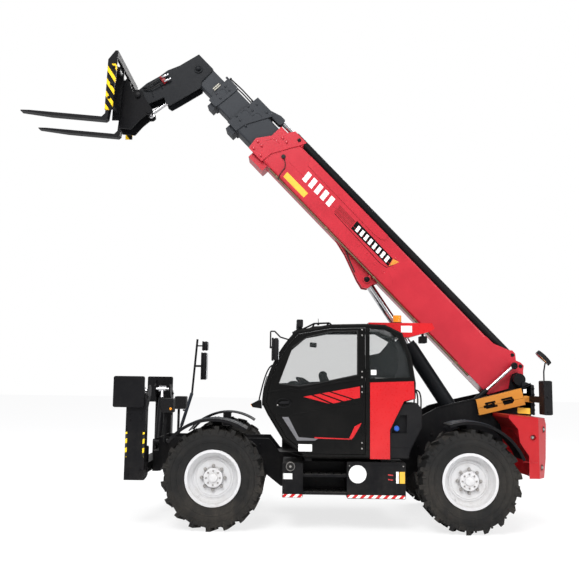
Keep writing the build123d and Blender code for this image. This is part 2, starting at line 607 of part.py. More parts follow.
# ------------------------------------------------------------------ chassis
REAR_PLATE = -2540          # back of the rear cross plate
LUG_PLATE_IN, LUG_PLATE_OUT = 196, 224
PLATE_OUT = PLATE_Y + PLATE_THICK
SIDE_PLATE = [(2350, 1040), (2350, 600), (2170, AXLE_SEAT_Z), (1180, AXLE_SEAT_Z), (740, 430), (-760, 430),
              (-1180, AXLE_SEAT_Z), (-1930, AXLE_SEAT_Z), (-2050, 640), (-2540, 640), (-2560, 1810), (-2416, 1738),
              (-1826, 1602), (-1600, 1549), (-1334, 1481), (-1000, 1300), (-920, 868), (760, 868), (900, 1040)]
PIVOT_LUG = [(-2540, 1300), (-2300, 1300), (-2300, 1700), (-2335, 1870), (-2365, 1925), (-2420, 1945),
             (-2475, 1925), (-2510, 1880), (-2540, 1780)]
BEAM_X = (2425, 2615)
BEAM_Z = (620, 740)
STAB_PIVOT = (850, 680)
STAB_FLANGES = ((2400, 2420), (2620, 2640))
STAB_PIN = 25
SLOT_X = (2455, 2585)

with BuildPart() as chassis_frame:
    for hand in (1, -1):
        slab(side(max(hand * PLATE_Y, hand * PLATE_OUT)), SIDE_PLATE, PLATE_THICK)
        slab(side(max(hand * LUG_PLATE_IN, hand * LUG_PLATE_OUT)), PIVOT_LUG, LUG_PLATE_OUT - LUG_PLATE_IN)
        # pivot boss between lug and side plate, and the boom's pin
        bar(side(max(hand * LUG_PLATE_IN, hand * (PLATE_Y + 1))), (PIVOT_X, PIVOT_Z), 80, PLATE_Y + 1 - LUG_PLATE_IN)
        # lift ram's lower ears
        ear_y = max(hand * 108, hand * 134)
        slab(side(ear_y), [(-2150, 780), (-2150, 1180), (-1900, 1150), (-1790, 1090), (-1770, 1010),
                           (-1830, 950), (-2000, 800)], 26)
        bar(side(max(hand * 134, hand * 150)), (lift_foot_x, lift_foot_z), 60, 16)
    bar(side(LUG_PLATE_OUT), (PIVOT_X, PIVOT_Z), BORE, 2 * LUG_PLATE_OUT)
    # cross plates and floors between the side plates
    block((REAR_PLATE, -2515), (-PLATE_Y, PLATE_Y), (640, 1500))
    block((-2175, -2150), (-PLATE_Y, PLATE_Y), (780, 1250))
    block((-2520, -2160), (-PLATE_Y, PLATE_Y), (640, 665))
    block((-2175, -2050), (-PLATE_Y, PLATE_Y), (640, 782))
    block((-760, 740), (-PLATE_Y, PLATE_Y), (430, 450))
    block((-GEARBOX_X, GEARBOX_X), (-240, 240), (450, 790), rounding=30)
    block((-250, 2330), (-PLATE_Y, PLATE_Y), (830, 850))
    block((2325, 2350), (-PLATE_Y, PLATE_Y), (600, 1040))
    # cross beam that carries the stabilisers
    block((2350, BEAM_X[0]), (-PLATE_OUT, PLATE_OUT), (600, 860))
    block(BEAM_X, (-STAB_PIVOT[0], STAB_PIVOT[0]), BEAM_Z)
    for hand in (1, -1):
        bar(across(BEAM_X[0]), (hand * STAB_PIVOT[0], STAB_PIVOT[1]), 60, BEAM_X[1] - BEAM_X[0])
        block(SLOT_X, ordered(hand, 640, 920), (BEAM_Z[0] - 1, BEAM_Z[1] + 1), Mode.SUBTRACT)
        # pins of the stabiliser arms stop short of the slot
        bar(across(STAB_FLANGES[0][0]), (hand * STAB_PIVOT[0], STAB_PIVOT[1]), STAB_PIN,
            SLOT_X[0] - STAB_FLANGES[0][0])
        bar(across(SLOT_X[1]), (hand * STAB_PIVOT[0], STAB_PIVOT[1]), STAB_PIN, STAB_FLANGES[1][1] - SLOT_X[1])
        # ears and pin of the stabiliser ram's foot
        for x in (STAB_X - 70.3, STAB_X + 52.3):
            with BuildSketch(across(x)) as ram_ear:
                with Locations((hand * STAB_FOOT[0], STAB_FOOT[1])):
                    Circle(42)
                with Locations((hand * STAB_FOOT[0], (STAB_FOOT[1] + BEAM_Z[1] - 5) / 2)):
                    Rectangle(84, STAB_FOOT[1] - BEAM_Z[1] + 5)
            extrude(ram_ear.sketch, amount=18)
        bar(across(STAB_X - 70.3), (hand * STAB_FOOT[0], STAB_FOOT[1]), 20, 140.6)
    # arms under the cab
    for x in (-560, 360):
        block((x, x + 80), (PLATE_OUT, BODY_SIDE - 60), (BOX_TOP, CAB_FLOOR))
    # pin of the levelling ram's foot
    bar(side(PLATE_Y + 1), LEVEL_FOOT, 18, PLATE_Y + 1 - LEVEL_Y + 30)
write(chassis_frame.part, "chassis_frame")

CLEVIS_FLANGE = 12
with BuildPart() as tow_clevis:
    block((REAR_PLATE - CLEVIS_FLANGE, REAR_PLATE), (-75, 75), (735, 900))
    for z in (760, 850):
        block((REAR_X, REAR_PLATE - CLEVIS_FLANGE), (-60, 60), (z, z + 25))
    bar(level(755), (REAR_X + 28, 0), 16, 130, Mode.SUBTRACT)
write(tow_clevis.part, "tow_clevis")


# ------------------------------------------------------------------ counterweight and rear panels
STEER_SWEEP = [(0, 0), (800, 0), (800, 930), (757, 1000), (670, 1150), (510, 1330), (450, 1370), (0, 1370)]
CWT_SIDE = [(-2040, 1418), (-2040, 1378), (-2150, 1250), (-2190, 900), (-2190, 660), (-2490, 660), (-2534, 885),
            (-2557, 1300), (-2530, 1380)]

with BuildPart() as counterweight:
    slab(side(1120), CWT_SIDE, 2240)
    # room for the chassis plates between its two halves
    block((-2700, -2000), (-PLATE_OUT, PLATE_OUT), (0, 1500), Mode.SUBTRACT)
    slab(level(600), [(-2390, 1130), (-2570, 900), (-2700, 900), (-2700, 1200), (-2390, 1200)], 900, mode=Mode.SUBTRACT)
    slab(level(600), [(-2390, -1130), (-2570, -900), (-2700, -900), (-2700, -1200), (-2390, -1200)], 900,
         mode=Mode.SUBTRACT)
    for hand in (1, -1):
        kingpin = Plane(origin=at(-AXLE_X, hand * KINGPIN_Y, 0), x_dir=(1, 0, 0), z_dir=(0, -1, 0))
        revolve(outline(kingpin, STEER_SWEEP), axis=Axis(at(-AXLE_X, hand * KINGPIN_Y, 0), (0, 0, 1)),
                mode=Mode.SUBTRACT)
        bar(side(max(hand * 1121, hand * 1085)), (-2330, 1150), 34, 36, Mode.SUBTRACT)
write(counterweight.part, "counterweight")

with BuildPart() as rear_panels:
    for hand in (1, -1):
        block((-2580, -2485), ordered(hand, 900, 1100), (1420, 1840), rounding=18)
        block((-2558, -2530), ordered(hand, PLATE_OUT, 905), (1560, 1640))
write(rear_panels.part, "rear_panels")

STRUT = [(-1814, 1573), (-2411, 1729), (-2460, 1533), (-1850, 1388)]
with BuildPart() as safety_strut:
    slab(side(PLATE_OUT + 70), STRUT, 8)
    slab(side(PLATE_OUT + 70), [(-1814, 1573), (-2411, 1729), (-2409, 1737), (-1812, 1581)], 70)
    slab(side(PLATE_OUT + 70), [(-1850, 1388), (-2460, 1533), (-2462, 1525), (-1852, 1380)], 70)
    for x, z in ((-1990, 1512), (-2240, 1578)):
        slab(side(PLATE_OUT + 71), [(x - 75, z - 8), (x + 75, z - 44), (x + 80, z - 8), (x - 70, z + 28)], 12,
             mode=Mode.SUBTRACT)
write(safety_strut.part, "safety_strut")


# ------------------------------------------------------------------ cab
CAB_FRONT = [(450, CAB_FLOOR), (500, 920), (710, 1080), (900, 1380), (974, 1520)]
CAB_REAR = [(563, 2420), (147, 2497), (-287, 2510), (-535, 2500), (-745, 2400), (-855, 2110), (-908, 1790),
            (-905, 1600), (-765, 1552), (-572, 1215), (-572, CAB_FLOOR)]
PILLAR_BULGE = (845, 2010)              # point on the curved front pillar
DOOR_REAR_X, DOOR_EDGE, DOOR_GAP = -290, 50, 6


def cab_profile(plane, inset=0, rear=-2000):
    """The cab's side outline, drawn in by the inset and cut off at its rear."""
    with BuildSketch(plane) as profile:
        with BuildLine():
            Polyline(*CAB_FRONT)
            ThreePointArc(CAB_FRONT[-1], PILLAR_BULGE, CAB_REAR[0])
            Polyline(*CAB_REAR)
            Line(CAB_REAR[-1], CAB_FRONT[0])
        make_face()
        if inset:
            offset(amount=-inset, kind=Kind.INTERSECTION)
        with BuildLine():
            Polyline((rear, 0), (2000, 0), (2000, 3000), (rear, 3000), close=True)
        make_face(mode=Mode.INTERSECT)
    return profile.sketch


DOOR_WINDOW = [(770, 1760), (520, 1735), (260, 1780), (-190, 1880), (-190, 2420), (150, 2405), (430, 2335),
               (620, 2170)]
QUARTER_WINDOW = [(-340, 1835), (-850, 1850), (-790, 2165), (-690, 2345), (-540, 2440), (-340, 2450)]
RIGHT_WINDOW = [(-835, 1850), (800, 1760), (700, 2100), (500, 2350), (150, 2420), (-500, 2430), (-680, 2330),
                (-780, 2150)]
SCREEN_Y = (CAB_IN + 70, CAB_OUT - 70)
SCREEN_X, SCREEN_Z = (430, 1200), (1330, 2360)
REAR_GLASS_Z = (1850, 2360)
GLASS = 6
GLASS_DEPTH = 18            # glass behind the outer face
DOOR_HINGE = (-288, 1162)   # x and y of the door's upright axis
HINGE_ZS, HINGE_HALF = (1230, 1900), 40
HINGE_RADIUS, HINGE_PIN = 8, 5
PIN_FIT = 0.05

with BuildPart() as cab_shell:
    extrude(cab_profile(side(CAB_OUT)), amount=CAB_OUT - CAB_IN)
    chamfer(cab_shell.faces().sort_by(Axis.Y)[-1].outer_wire().edges(), 22)
    extrude(cab_profile(side(CAB_OUT - CAB_WALL), CAB_WALL), amount=CAB_OUT - CAB_IN - 2 * CAB_WALL,
            mode=Mode.SUBTRACT)


def window(points, y, thick, mode):
    slab(side(y), points, thick, 0, mode)


with BuildPart() as cab_frame:
    add(cab_shell.part)
    extrude(cab_profile(side(CAB_OUT + 1), DOOR_EDGE, DOOR_REAR_X), amount=CAB_WALL + 2, mode=Mode.SUBTRACT)
    window(QUARTER_WINDOW, CAB_OUT + 1, CAB_WALL + 2, Mode.SUBTRACT)
    window(RIGHT_WINDOW, CAB_IN + CAB_WALL + 1, CAB_WALL + 2, Mode.SUBTRACT)
    block(SCREEN_X, SCREEN_Y, SCREEN_Z, Mode.SUBTRACT)
    block((-1000, -600), SCREEN_Y, REAR_GLASS_Z, Mode.SUBTRACT)
    # door hinges: two leaves with the pin between them
    for z in HINGE_ZS:
        for foot in (z - HINGE_HALF - 16, z + HINGE_HALF):
            bar(level(foot), DOOR_HINGE, HINGE_RADIUS, 16)
            block((DOOR_HINGE[0] - 26, DOOR_HINGE[0]), (CAB_OUT, DOOR_HINGE[1] - 2), (foot, foot + 16))
        bar(level(z - HINGE_HALF), DOOR_HINGE, HINGE_PIN, 2 * HINGE_HALF)
    # seat pedestal on the floor
    block((-420, -60), (500, 900), (CAB_FLOOR + CAB_WALL - 1, 1180))
write(cab_frame.part, "cab_frame")


def glass_band():
    """Sheet that follows the cab's outline a little inside its outer face."""
    with BuildPart(mode=Mode.PRIVATE) as sheet:
        extrude(cab_profile(side(SCREEN_Y[1]), GLASS_DEPTH), amount=SCREEN_Y[1] - SCREEN_Y[0])
        extrude(cab_profile(side(SCREEN_Y[1]), GLASS_DEPTH + GLASS), amount=SCREEN_Y[1] - SCREEN_Y[0],
                mode=Mode.SUBTRACT)
    return sheet.part


with BuildPart() as screen_zones:
    block(SCREEN_X, SCREEN_Y, SCREEN_Z)
    block((-1000, -600), SCREEN_Y, REAR_GLASS_Z)

with BuildPart() as cab_glass:
    add(glass_band())
    add(screen_zones.part, mode=Mode.INTERSECT)
    window(QUARTER_WINDOW, CAB_OUT - GLASS_DEPTH, GLASS, Mode.ADD)
    window(RIGHT_WINDOW, CAB_IN + GLASS_DEPTH + GLASS, GLASS, Mode.ADD)
write(cab_glass.part, "cab_glass")

with BuildPart() as cab_door:
    extrude(cab_profile(side(CAB_OUT), DOOR_EDGE + DOOR_GAP, DOOR_REAR_X + DOOR_GAP), amount=CAB_WALL)
    window(DOOR_WINDOW, CAB_OUT + 1, CAB_WALL + 2, Mode.SUBTRACT)
    for z in HINGE_ZS:
        height = 2 * (HINGE_HALF - RUN)
        bar(level(z - HINGE_HALF + RUN), DOOR_HINGE, HINGE_RADIUS, height)
        block((DOOR_HINGE[0], DOOR_HINGE[0] + 50), (CAB_OUT - 1, DOOR_HINGE[1] - 4),
              (z - HINGE_HALF + RUN, z + HINGE_HALF - RUN))
        # clear of the frame's edge, and bored for the pin
        block((DOOR_HINGE[0] - 1, DOOR_REAR_X + DOOR_GAP), (CAB_OUT - 2, CAB_OUT + 1),
              (z - HINGE_HALF, z + HINGE_HALF), Mode.SUBTRACT)
        bar(level(z - HINGE_HALF), DOOR_HINGE, HINGE_PIN + PIN_FIT, 2 * HINGE_HALF, Mode.SUBTRACT)
    # handle recess
    with BuildSketch(side(CAB_OUT + 1)) as recess:
        with Locations((690, 1540)):
            Ellipse(80, 42)
    extrude(recess.sketch, amount=16, mode=Mode.SUBTRACT)
write(cab_door.part, "cab_door")

with BuildPart() as door_glass:
    window(DOOR_WINDOW, CAB_OUT - GLASS_DEPTH, GLASS, Mode.ADD)
write(door_glass.part, "door_glass")

QUARTER_PANEL = [(-345, 1790), (-880, 1812), (-890, 1600), (-758, 1568), (-586, 1222), (-586, 872), (-345, 872)]
PANEL_THICK = 5
with BuildPart() as cab_quarter_panel:
    slab(side(CAB_OUT + PANEL_THICK), QUARTER_PANEL, PANEL_THICK)
write(cab_quarter_panel.part, "cab_quarter_panel")

with BuildPart() as seat:
    block((-400, 80), (460, 940), (1180, 1320), rounding=45)
    slab(side(930), [(-400, 1250), (-260, 1250), (-340, 1950), (-440, 1950)], 460, 20)
    # right-hand arm rest
    block((-360, 120), (340, 470), (1270, 1350))
write(seat.part, "seat")

with BuildPart() as console:
    slab(side(980), [(300, 915), (420, 915), (470, 1010), (640, 1140), (780, 1360), (740, 1560), (620, 1640),
                     (540, 1560), (480, 1180), (300, 960)], 560)
    slab(side(760), [(560, 1100), (600, 1110), (470, 1560), (440, 1550)], 120)
    wheel_centre = at(430, 700, 1640)
    wheel_axis = Vector(-cos(radians(60)), 0, sin(radians(60)))
    hub = Plane(origin=wheel_centre - wheel_axis * 110, x_dir=(0, 1, 0), z_dir=wheel_axis)
    bar(hub, (0, 0), 24, 110)
    ring_plane = Plane(origin=wheel_centre, x_dir=(0, 1, 0), z_dir=wheel_axis.cross(Vector(0, 1, 0)))
    with BuildSketch(ring_plane) as rim_section:
        with Locations((190, 0)):
            RegularPolygon(14, 6)
    revolve(rim_section.sketch, axis=Axis(wheel_centre, wheel_axis))
    for turn in (0, 120, 240):
        spoke = Plane(origin=wheel_centre, x_dir=(0, 1, 0), z_dir=wheel_axis)
        spoke = spoke.rotated((0, 0, turn))
        with BuildSketch(spoke.offset(-9)) as arm:
            with Locations((96, 0)):
                Rectangle(192, 26)
        extrude(arm.sketch, amount=14)
write(console.part, "console")

ROOF_TOP = 2545
ROOF_SIDE = [(-352, ROOF_TOP), (-352, 2495), (-560, 2480), (-690, 2410), (-740, 2363), (-860, 2363), (-1129, 2438),
             (-1190, 2479), (-1155, ROOF_TOP)]
ROOF_IN, ROOF_OUT = 265, 900
with BuildPart() as roof_extension:
    slab(side(ROOF_OUT), ROOF_SIDE, ROOF_OUT - ROOF_IN)
    # open underneath, with a wall all round
    slab(side(ROOF_OUT - 20), [(-700, 2505), (-820, 2380), (-860, 2380), (-1120, 2452), (-1165, 2485), (-1150, 2530),
                               (-700, 2522)], ROOF_OUT - ROOF_IN - 40, mode=Mode.SUBTRACT)
    extrude(cab_profile(side(CAB_OUT)), amount=CAB_OUT - CAB_IN, mode=Mode.SUBTRACT)
write(roof_extension.part, "roof_extension")


# ------------------------------------------------------------------ hood, boxes and tank
HOOD = [(-760, 500), (740, 500), (740, 1120), (470, 1420), (-600, 1470), (-760, 1390)]
HOOD_WALL = 12
with BuildPart() as engine_hood:
    slab(side(-PLATE_OUT), HOOD, BODY_SIDE - PLATE_OUT)
    chamfer(engine_hood.faces().sort_by(Axis.Y)[0].outer_wire().edges(), 40)
    extrude(outline(side(-PLATE_OUT - HOOD_WALL), HOOD, inset=HOOD_WALL),
            amount=BODY_SIDE - PLATE_OUT - 2 * HOOD_WALL - 30, mode=Mode.SUBTRACT)
    # grille slots in the outer side
    for k in range(9):
        x = -620 + k * 62
        block((x, x + 34), (-BODY_SIDE - 1, -BODY_SIDE + 60), (700, 1180), Mode.SUBTRACT)
write(engine_hood.part, "engine_hood")

with BuildPart() as engine_block:
    block((-350, 620), (-1040, -PLATE_OUT - HOOD_WALL), (500 + HOOD_WALL, 1215))
write(engine_block.part, "engine_block")

STEP_ZS = (440, 650)
with BuildPart() as side_boxes:
    block((464, 712), (PLATE_OUT, BODY_SIDE), (405, 810), rounding=14)
    block((-775, -67), (PLATE_OUT, BODY_SIDE), (402, BOX_TOP), rounding=14)
    # treads of the steps and the plate behind them
    block((-68, 465), (760, 775), (420, 800))
    for z in STEP_ZS:
        block((-68, 465), (774, 1130), (z, z + 30))
        for x in (-20, 70, 160, 250, 340, 430):
            block((x, x + 26), (850, 1090), (z - 1, z + 31), Mode.SUBTRACT)
write(side_boxes.part, "side_boxes")

TANK = [(-550, 872), (-550, 1220), (-740, 1546), (-930, 1546), (-985, 1470), (-985, 1250), (-845, 980), (-815, 872)]
TANK_IN, TANK_OUT = 640, 1120
with BuildPart() as fuel_tank:
    slab(side(TANK_OUT), TANK, TANK_OUT - TANK_IN)
    chamfer(fuel_tank.faces().sort_by(Axis.Y)[-1].outer_wire().edges(), 14)
    # pocket and filler cap
    slab(side(TANK_OUT + 1), [(-610, 1180), (-640, 1290), (-720, 1400), (-800, 1400), (-790, 1180)], 50,
         mode=Mode.SUBTRACT)
    bar(side(TANK_OUT - 18), (-668, 1240), 38, 33)
    extrude(cab_profile(side(CAB_OUT)), amount=CAB_OUT - CAB_IN, mode=Mode.SUBTRACT)
write(fuel_tank.part, "fuel_tank")


# ------------------------------------------------------------------ mirrors and lamps
with BuildPart() as mirrors:
    # right-hand post from the front of the chassis
    tube_through([(2300, -PLATE_OUT, 960), (2300, -1000, 960), (2250, -1000, 1120), (2110, -1000, 1590),
                  (2050, -1000, 2400)], 16, 30)
    block((1960, 1985), (-1120, -960), (1790, 2200), rounding=8)
    block((1950, 1975), (-1100, -980), (2230, 2370), rounding=8)
    block((1980, 2092), (-1012, -988), (1980, 2010))
    block((1970, 2070), (-1012, -988), (2290, 2310))
    # left-hand mirror on a bent bracket at the cab's front pillar
    tube_through([(650, 1120, 2300), (760, 1160, 2330), (830, 1170, 2400), (880, 1170, 2400), (880, 1170, 2205)],
                 9, 12)
    block((840, 865), (1080, 1198), (2040, 2320), rounding=8)
    block((860, 890), (1160, 1180), (2190, 2215))
    # rear-view mirror on the left rear panel
    tube_through([(-2520, 1000, 1840), (-2520, 1000, 1950), (-2540, 1000, 2060)], 9, 25)
    with BuildSketch(Plane(origin=at(-2520, 1000, 2120), x_dir=(0, 1, 0), z_dir=(0.72, 0, -0.69))) as glass_edge:
        Ellipse(75, 110)
    extrude(glass_edge.sketch, amount=24, both=True)
    extrude(cab_profile(side(CAB_OUT)), amount=CAB_OUT - CAB_IN, mode=Mode.SUBTRACT)
write(mirrors.part, "mirrors")

with BuildPart() as lamps:
    for hand in (1, -1):
        # headlamps on posts bolted to the side plates
        tube_through([(2240, hand * PLATE_OUT, 1000), (2240, hand * 580, 1000), (2240, hand * 580, 1380)], 18, 40)
        block((2130, 2290), ordered(hand, 490, 670), (1370, 1550), rounding=16)
    # work lamps on the cab's roof and under the roof extension
    for y in (420, 980):
        block((480, 560), (y - 60, y + 60), (2470, 2560), rounding=14)
        block((500, 540), (y - 15, y + 15), (2420, 2475))
    block((-1120, -1030), (600, 740), (2300, 2390), rounding=12)
    block((-1090, -1060), (655, 685), (2385, 2450))
    extrude(cab_profile(side(CAB_OUT)), amount=CAB_OUT - CAB_IN, mode=Mode.SUBTRACT)
    slab(side(ROOF_OUT), ROOF_SIDE, ROOF_OUT - ROOF_IN, mode=Mode.SUBTRACT)
write(lamps.part, "lamps")

with BuildPart() as beacon:
    bar(level(ROOF_TOP), (-760, 560), 62, 30)
    bar(level(ROOF_TOP + 30), (-760, 560), 55, 90)
write(beacon.part, "beacon")


# ------------------------------------------------------------------ stabilisers
STAB_PLATE_Y = (1058, 1080)
FLANGE = [(790, 665), (815, 610), (880, 590), (1000, 575), (STAB_PLATE_Y[1], 575), (STAB_PLATE_Y[1], 1560),
          (1045, 1620), (990, 1632), (870, 1700), (800, 1722), (745, 1690), (745, 1610), (915, 1440), (915, 800),
          (880, 735), (820, 730)]
FOOT_PIN = (1000, 1580)
FOOT_PIN_RADIUS = 20
SOLE_Y = (1086, 1120)
SOLE_X, SOLE_Z = (2420, 2800), (1450, 1830)

for hand, name in ((1, "left"), (-1, "right")):
    with BuildPart() as arm:
        for x0, x1 in STAB_FLANGES:
            slab(across(x0), [(hand * y, z) for y, z in FLANGE], x1 - x0)
            bar(across(x0), (hand * STAB_PIVOT[0], STAB_PIVOT[1]), STAB_PIN + RUN, x1 - x0, Mode.SUBTRACT)
        block((STAB_FLANGES[0][0], STAB_FLANGES[1][1]), ordered(hand, *STAB_PLATE_Y), (575, 1478))
        block((STAB_FLANGES[0][0], STAB_FLANGES[1][1]), ordered(hand, 1025, STAB_PLATE_Y[0]), (575, 600))
        for x in (STAB_FLANGES[0][1], STAB_FLANGES[1][0] - 32):
            bar(across(x), (hand * FOOT_PIN[0], FOOT_PIN[1]), FOOT_PIN_RADIUS, 32)
    write(arm.part, f"stabiliser_{name}_arm")

    with BuildPart() as foot:
        block(SOLE_X, ordered(hand, *SOLE_Y), SOLE_Z, rounding=24)
        for x in (STAB_FLANGES[0][1] + SWING, STAB_FLANGES[1][0] - SWING - 22):
            ear_shape = [(hand * y, z) for y, z in [(965, 1600), (965, 1560), (985, 1542), (1020, 1542),
                                                    (SOLE_Y[0] + 1, 1490), (SOLE_Y[0] + 1, 1720), (1020, 1618),
                                                    (985, 1618)]]
            slab(across(x), ear_shape, 22)
            bar(across(x), (hand * FOOT_PIN[0], FOOT_PIN[1]), FOOT_PIN_RADIUS + RUN, 22, Mode.SUBTRACT)
        block((2660, 2680), ordered(hand, 1040, SOLE_Y[0] + 1), (1500, 1780))
    write(foot.part, f"stabiliser_{name}_foot")
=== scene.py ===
import bpy
import bmesh
from math import cos, pi, radians, sin
from mathutils import Matrix, Vector


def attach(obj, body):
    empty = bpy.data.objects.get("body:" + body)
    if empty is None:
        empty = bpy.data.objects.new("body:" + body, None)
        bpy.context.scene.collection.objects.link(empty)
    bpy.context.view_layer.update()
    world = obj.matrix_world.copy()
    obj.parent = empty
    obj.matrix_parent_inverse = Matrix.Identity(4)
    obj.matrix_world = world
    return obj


# Looks of the telehandler. Places are written in millimetres in the machine's own datum: on the
# ground midway between the axles, +X forward, +Y left, +Z up. The row frame lies X_MID ahead of it.
# Along the boom, u runs from its pivot towards the head and w stands above its axis.
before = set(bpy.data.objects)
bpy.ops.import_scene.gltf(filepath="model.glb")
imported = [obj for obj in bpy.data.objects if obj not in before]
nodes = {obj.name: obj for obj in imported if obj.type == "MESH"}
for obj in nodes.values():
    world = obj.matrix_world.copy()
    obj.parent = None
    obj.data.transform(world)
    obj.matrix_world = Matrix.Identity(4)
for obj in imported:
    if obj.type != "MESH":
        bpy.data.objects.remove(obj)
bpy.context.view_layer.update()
X_MID = 900.0

# ---- measures of the part
BOOM_ANGLE, FORK_ANGLE = radians(46), radians(4.6)
PIVOT = (-2420, 1852)  # x and z of the boom's pivot
TILT, LIFT_PIN, LEVEL_EYE = (6495, -1054), (2368, -511), (169, 87)  # u and w
AXLES = {"front": 1550, "rear": -1550}
AXLE_Z, WHEEL_Y = 620, 995
# distances of outer faces from the middle plane
BOOM_FACE, COLLAR_FACE, HEAD_FACE, PLATE_FACE = 190, 205, 130, 360
DOOR_FACE, BOX_FACE, CARRIAGE_FACE = 1150, 1150, 650
# x of faces that look forward or back
FRONT_FACE, HEADLAMP_X, REAR_FACE = 2350, 2290, -2580
# hinge plates of the door: heights of their middles, half their height, bolts above the middle
HINGES, HINGE_HALF, HINGE_BOLTS = (2400, 1886, 1706, 1030), 48, (-34, 34)
LABEL = 1.5  # thickness of labels and painted marks
HANDS = {"left": 1, "right": -1}


# ---- places
def point(x, y, z):
    return Vector(((x - X_MID) / 1000, y / 1000, z / 1000))


def place(x, y, z, x_dir, z_dir):
    """A frame in metres: its x and z directions are given, y follows."""
    a, c = Vector(x_dir).normalized(), Vector(z_dir).normalized()
    m = Matrix((a, c.cross(a), c)).transposed().to_4x4()
    m.translation = point(x, y, z)
    return m


def facing(x, y=0, z=0, sense=1):
    """On a face that looks forward, or back where sense is -1; drawn y left, z up."""
    return place(x, y, z, (0, 1, 0), (sense, 0, 0))


def sideways(x, y, z, h):
    """On a face that looks left, or right where h is -1."""
    return place(x, y, z, (1, 0, 0), (0, h, 0))


def aimed(a, b):
    """At a, with z towards b; both are points in metres."""
    m = (b - a).to_track_quat("Z", "Y").to_matrix().to_4x4()
    m.translation = a
    return m


along = Vector((cos(BOOM_ANGLE), 0, sin(BOOM_ANGLE)))
above = Vector((-sin(BOOM_ANGLE), 0, cos(BOOM_ANGLE)))


def boom_xz(u, w):
    return PIVOT[0] + u * along.x + w * above.x, PIVOT[1] + u * along.z + w * above.z


def boom_point(u, w, y):
    x, z = boom_xz(u, w)
    return point(x, y, z)


def outward(u, w, h, y):
    """On the boom's side at u, w, with z pointing away from the boom on hand h."""
    x, z = boom_xz(u, w)
    return place(x, h * y, z, along, (0, h, 0))


TILT_X, TILT_Z = boom_xz(*TILT)
# The side places are drawn forward and up, or along and above; their z goes towards -Y.
SIDE = place(0, 0, 0, (1, 0, 0), (0, -1, 0))
BOOM_SIDE = place(PIVOT[0], 0, PIVOT[1], along, (0, -1, 0))
FORK_SIDE = place(TILT_X, 0, TILT_Z, (cos(FORK_ANGLE), 0, sin(FORK_ANGLE)), (0, -1, 0))
LEVEL = place(0, 0, 0, (1, 0, 0), (0, 0, 1))


def layer(y, thick, h=1):
    """Low and high, on a side place, of a layer standing out from a face at y on hand h."""
    return -h * y, -h * (y + thick)


def rect(a0, a1, b0, b1):
    return [(a0, b0), (a1, b0), (a1, b1), (a0, b1)]


def oval(count, half_a, half_b, centre=(0, 0), turn=0.0):
    angles = [turn + 2 * pi * k / count for k in range(count)]
    return [(centre[0] + half_a * cos(t), centre[1] + half_b * sin(t)) for t in angles]


def arc(x, z, radius, degrees):
    return [(x + radius * cos(radians(t)), z + radius * sin(radians(t))) for t in degrees]


# ---- node helpers
def node(tree, kind, inputs=None, **settings):
    n = tree.nodes.new(kind)
    for key, value in settings.items():
        setattr(n, key, value)
    for socket, value in (inputs or {}).items():
        if isinstance(value, bpy.types.NodeSocket):
            tree.links.new(value, n.inputs[socket])
        else:
            n.inputs[socket].default_value = value
    return n


def math(tree, operation, a, b=0.0, clamp=False):
    n = node(tree, "ShaderNodeMath", {0: a, 1: b}, operation=operation, use_clamp=clamp)
    return n.outputs[0]


def ramp(tree, value, low, high, to_low=0.0, to_high=1.0):
    n = node(tree, "ShaderNodeMapRange", {0: value, 1: low, 2: high, 3: to_low, 4: to_high},
             interpolation_type="SMOOTHSTEP")
    return n.outputs[0]


def noise(tree, vector, scale, detail=3.0, rough=0.55):
    n = node(tree, "ShaderNodeTexNoise",
             {"Vector": vector, "Scale": scale, "Detail": detail, "Roughness": rough})
    return n.outputs["Fac"]


def mix(tree, factor, a, b, blend="MIX"):
    n = node(tree, "ShaderNodeMix", {0: factor, 6: a, 7: b}, data_type="RGBA", blend_type=blend)
    return n.outputs[2]


def object_coords(tree):
    return node(tree, "ShaderNodeTexCoord").outputs["Object"]


def part_of(tree, vector, axis):
    return node(tree, "ShaderNodeSeparateXYZ", {0: vector}).outputs[axis]


def rgb(r, g, b):
    return (r, g, b, 1.0)


def cleared(owner):
    """The empty node tree of a material or a world."""
    owner.use_nodes = True
    owner.node_tree.nodes.clear()
    return owner.node_tree


def end_in(tree, kind, shader):
    tree.links.new(shader.outputs[0], node(tree, kind).inputs[0])


# ---- materials
COLOUR, FLOAT, VECTOR = "NodeSocketColor", "NodeSocketFloat", "NodeSocketVector"
DUST = (0.33, 0.29, 0.23)
WEAR = (0.25, 0.24, 0.23)
GRIME = (0.075, 0.068, 0.058)
RED = (0.50, 0.005, 0.009)
BOOM_RED = (0.42, 0.015, 0.028)
BLACK = (0.006, 0.006, 0.007)
EDGE_RADIUS, GRAIN_DEPTH = 0.0045, 0.004  # metres


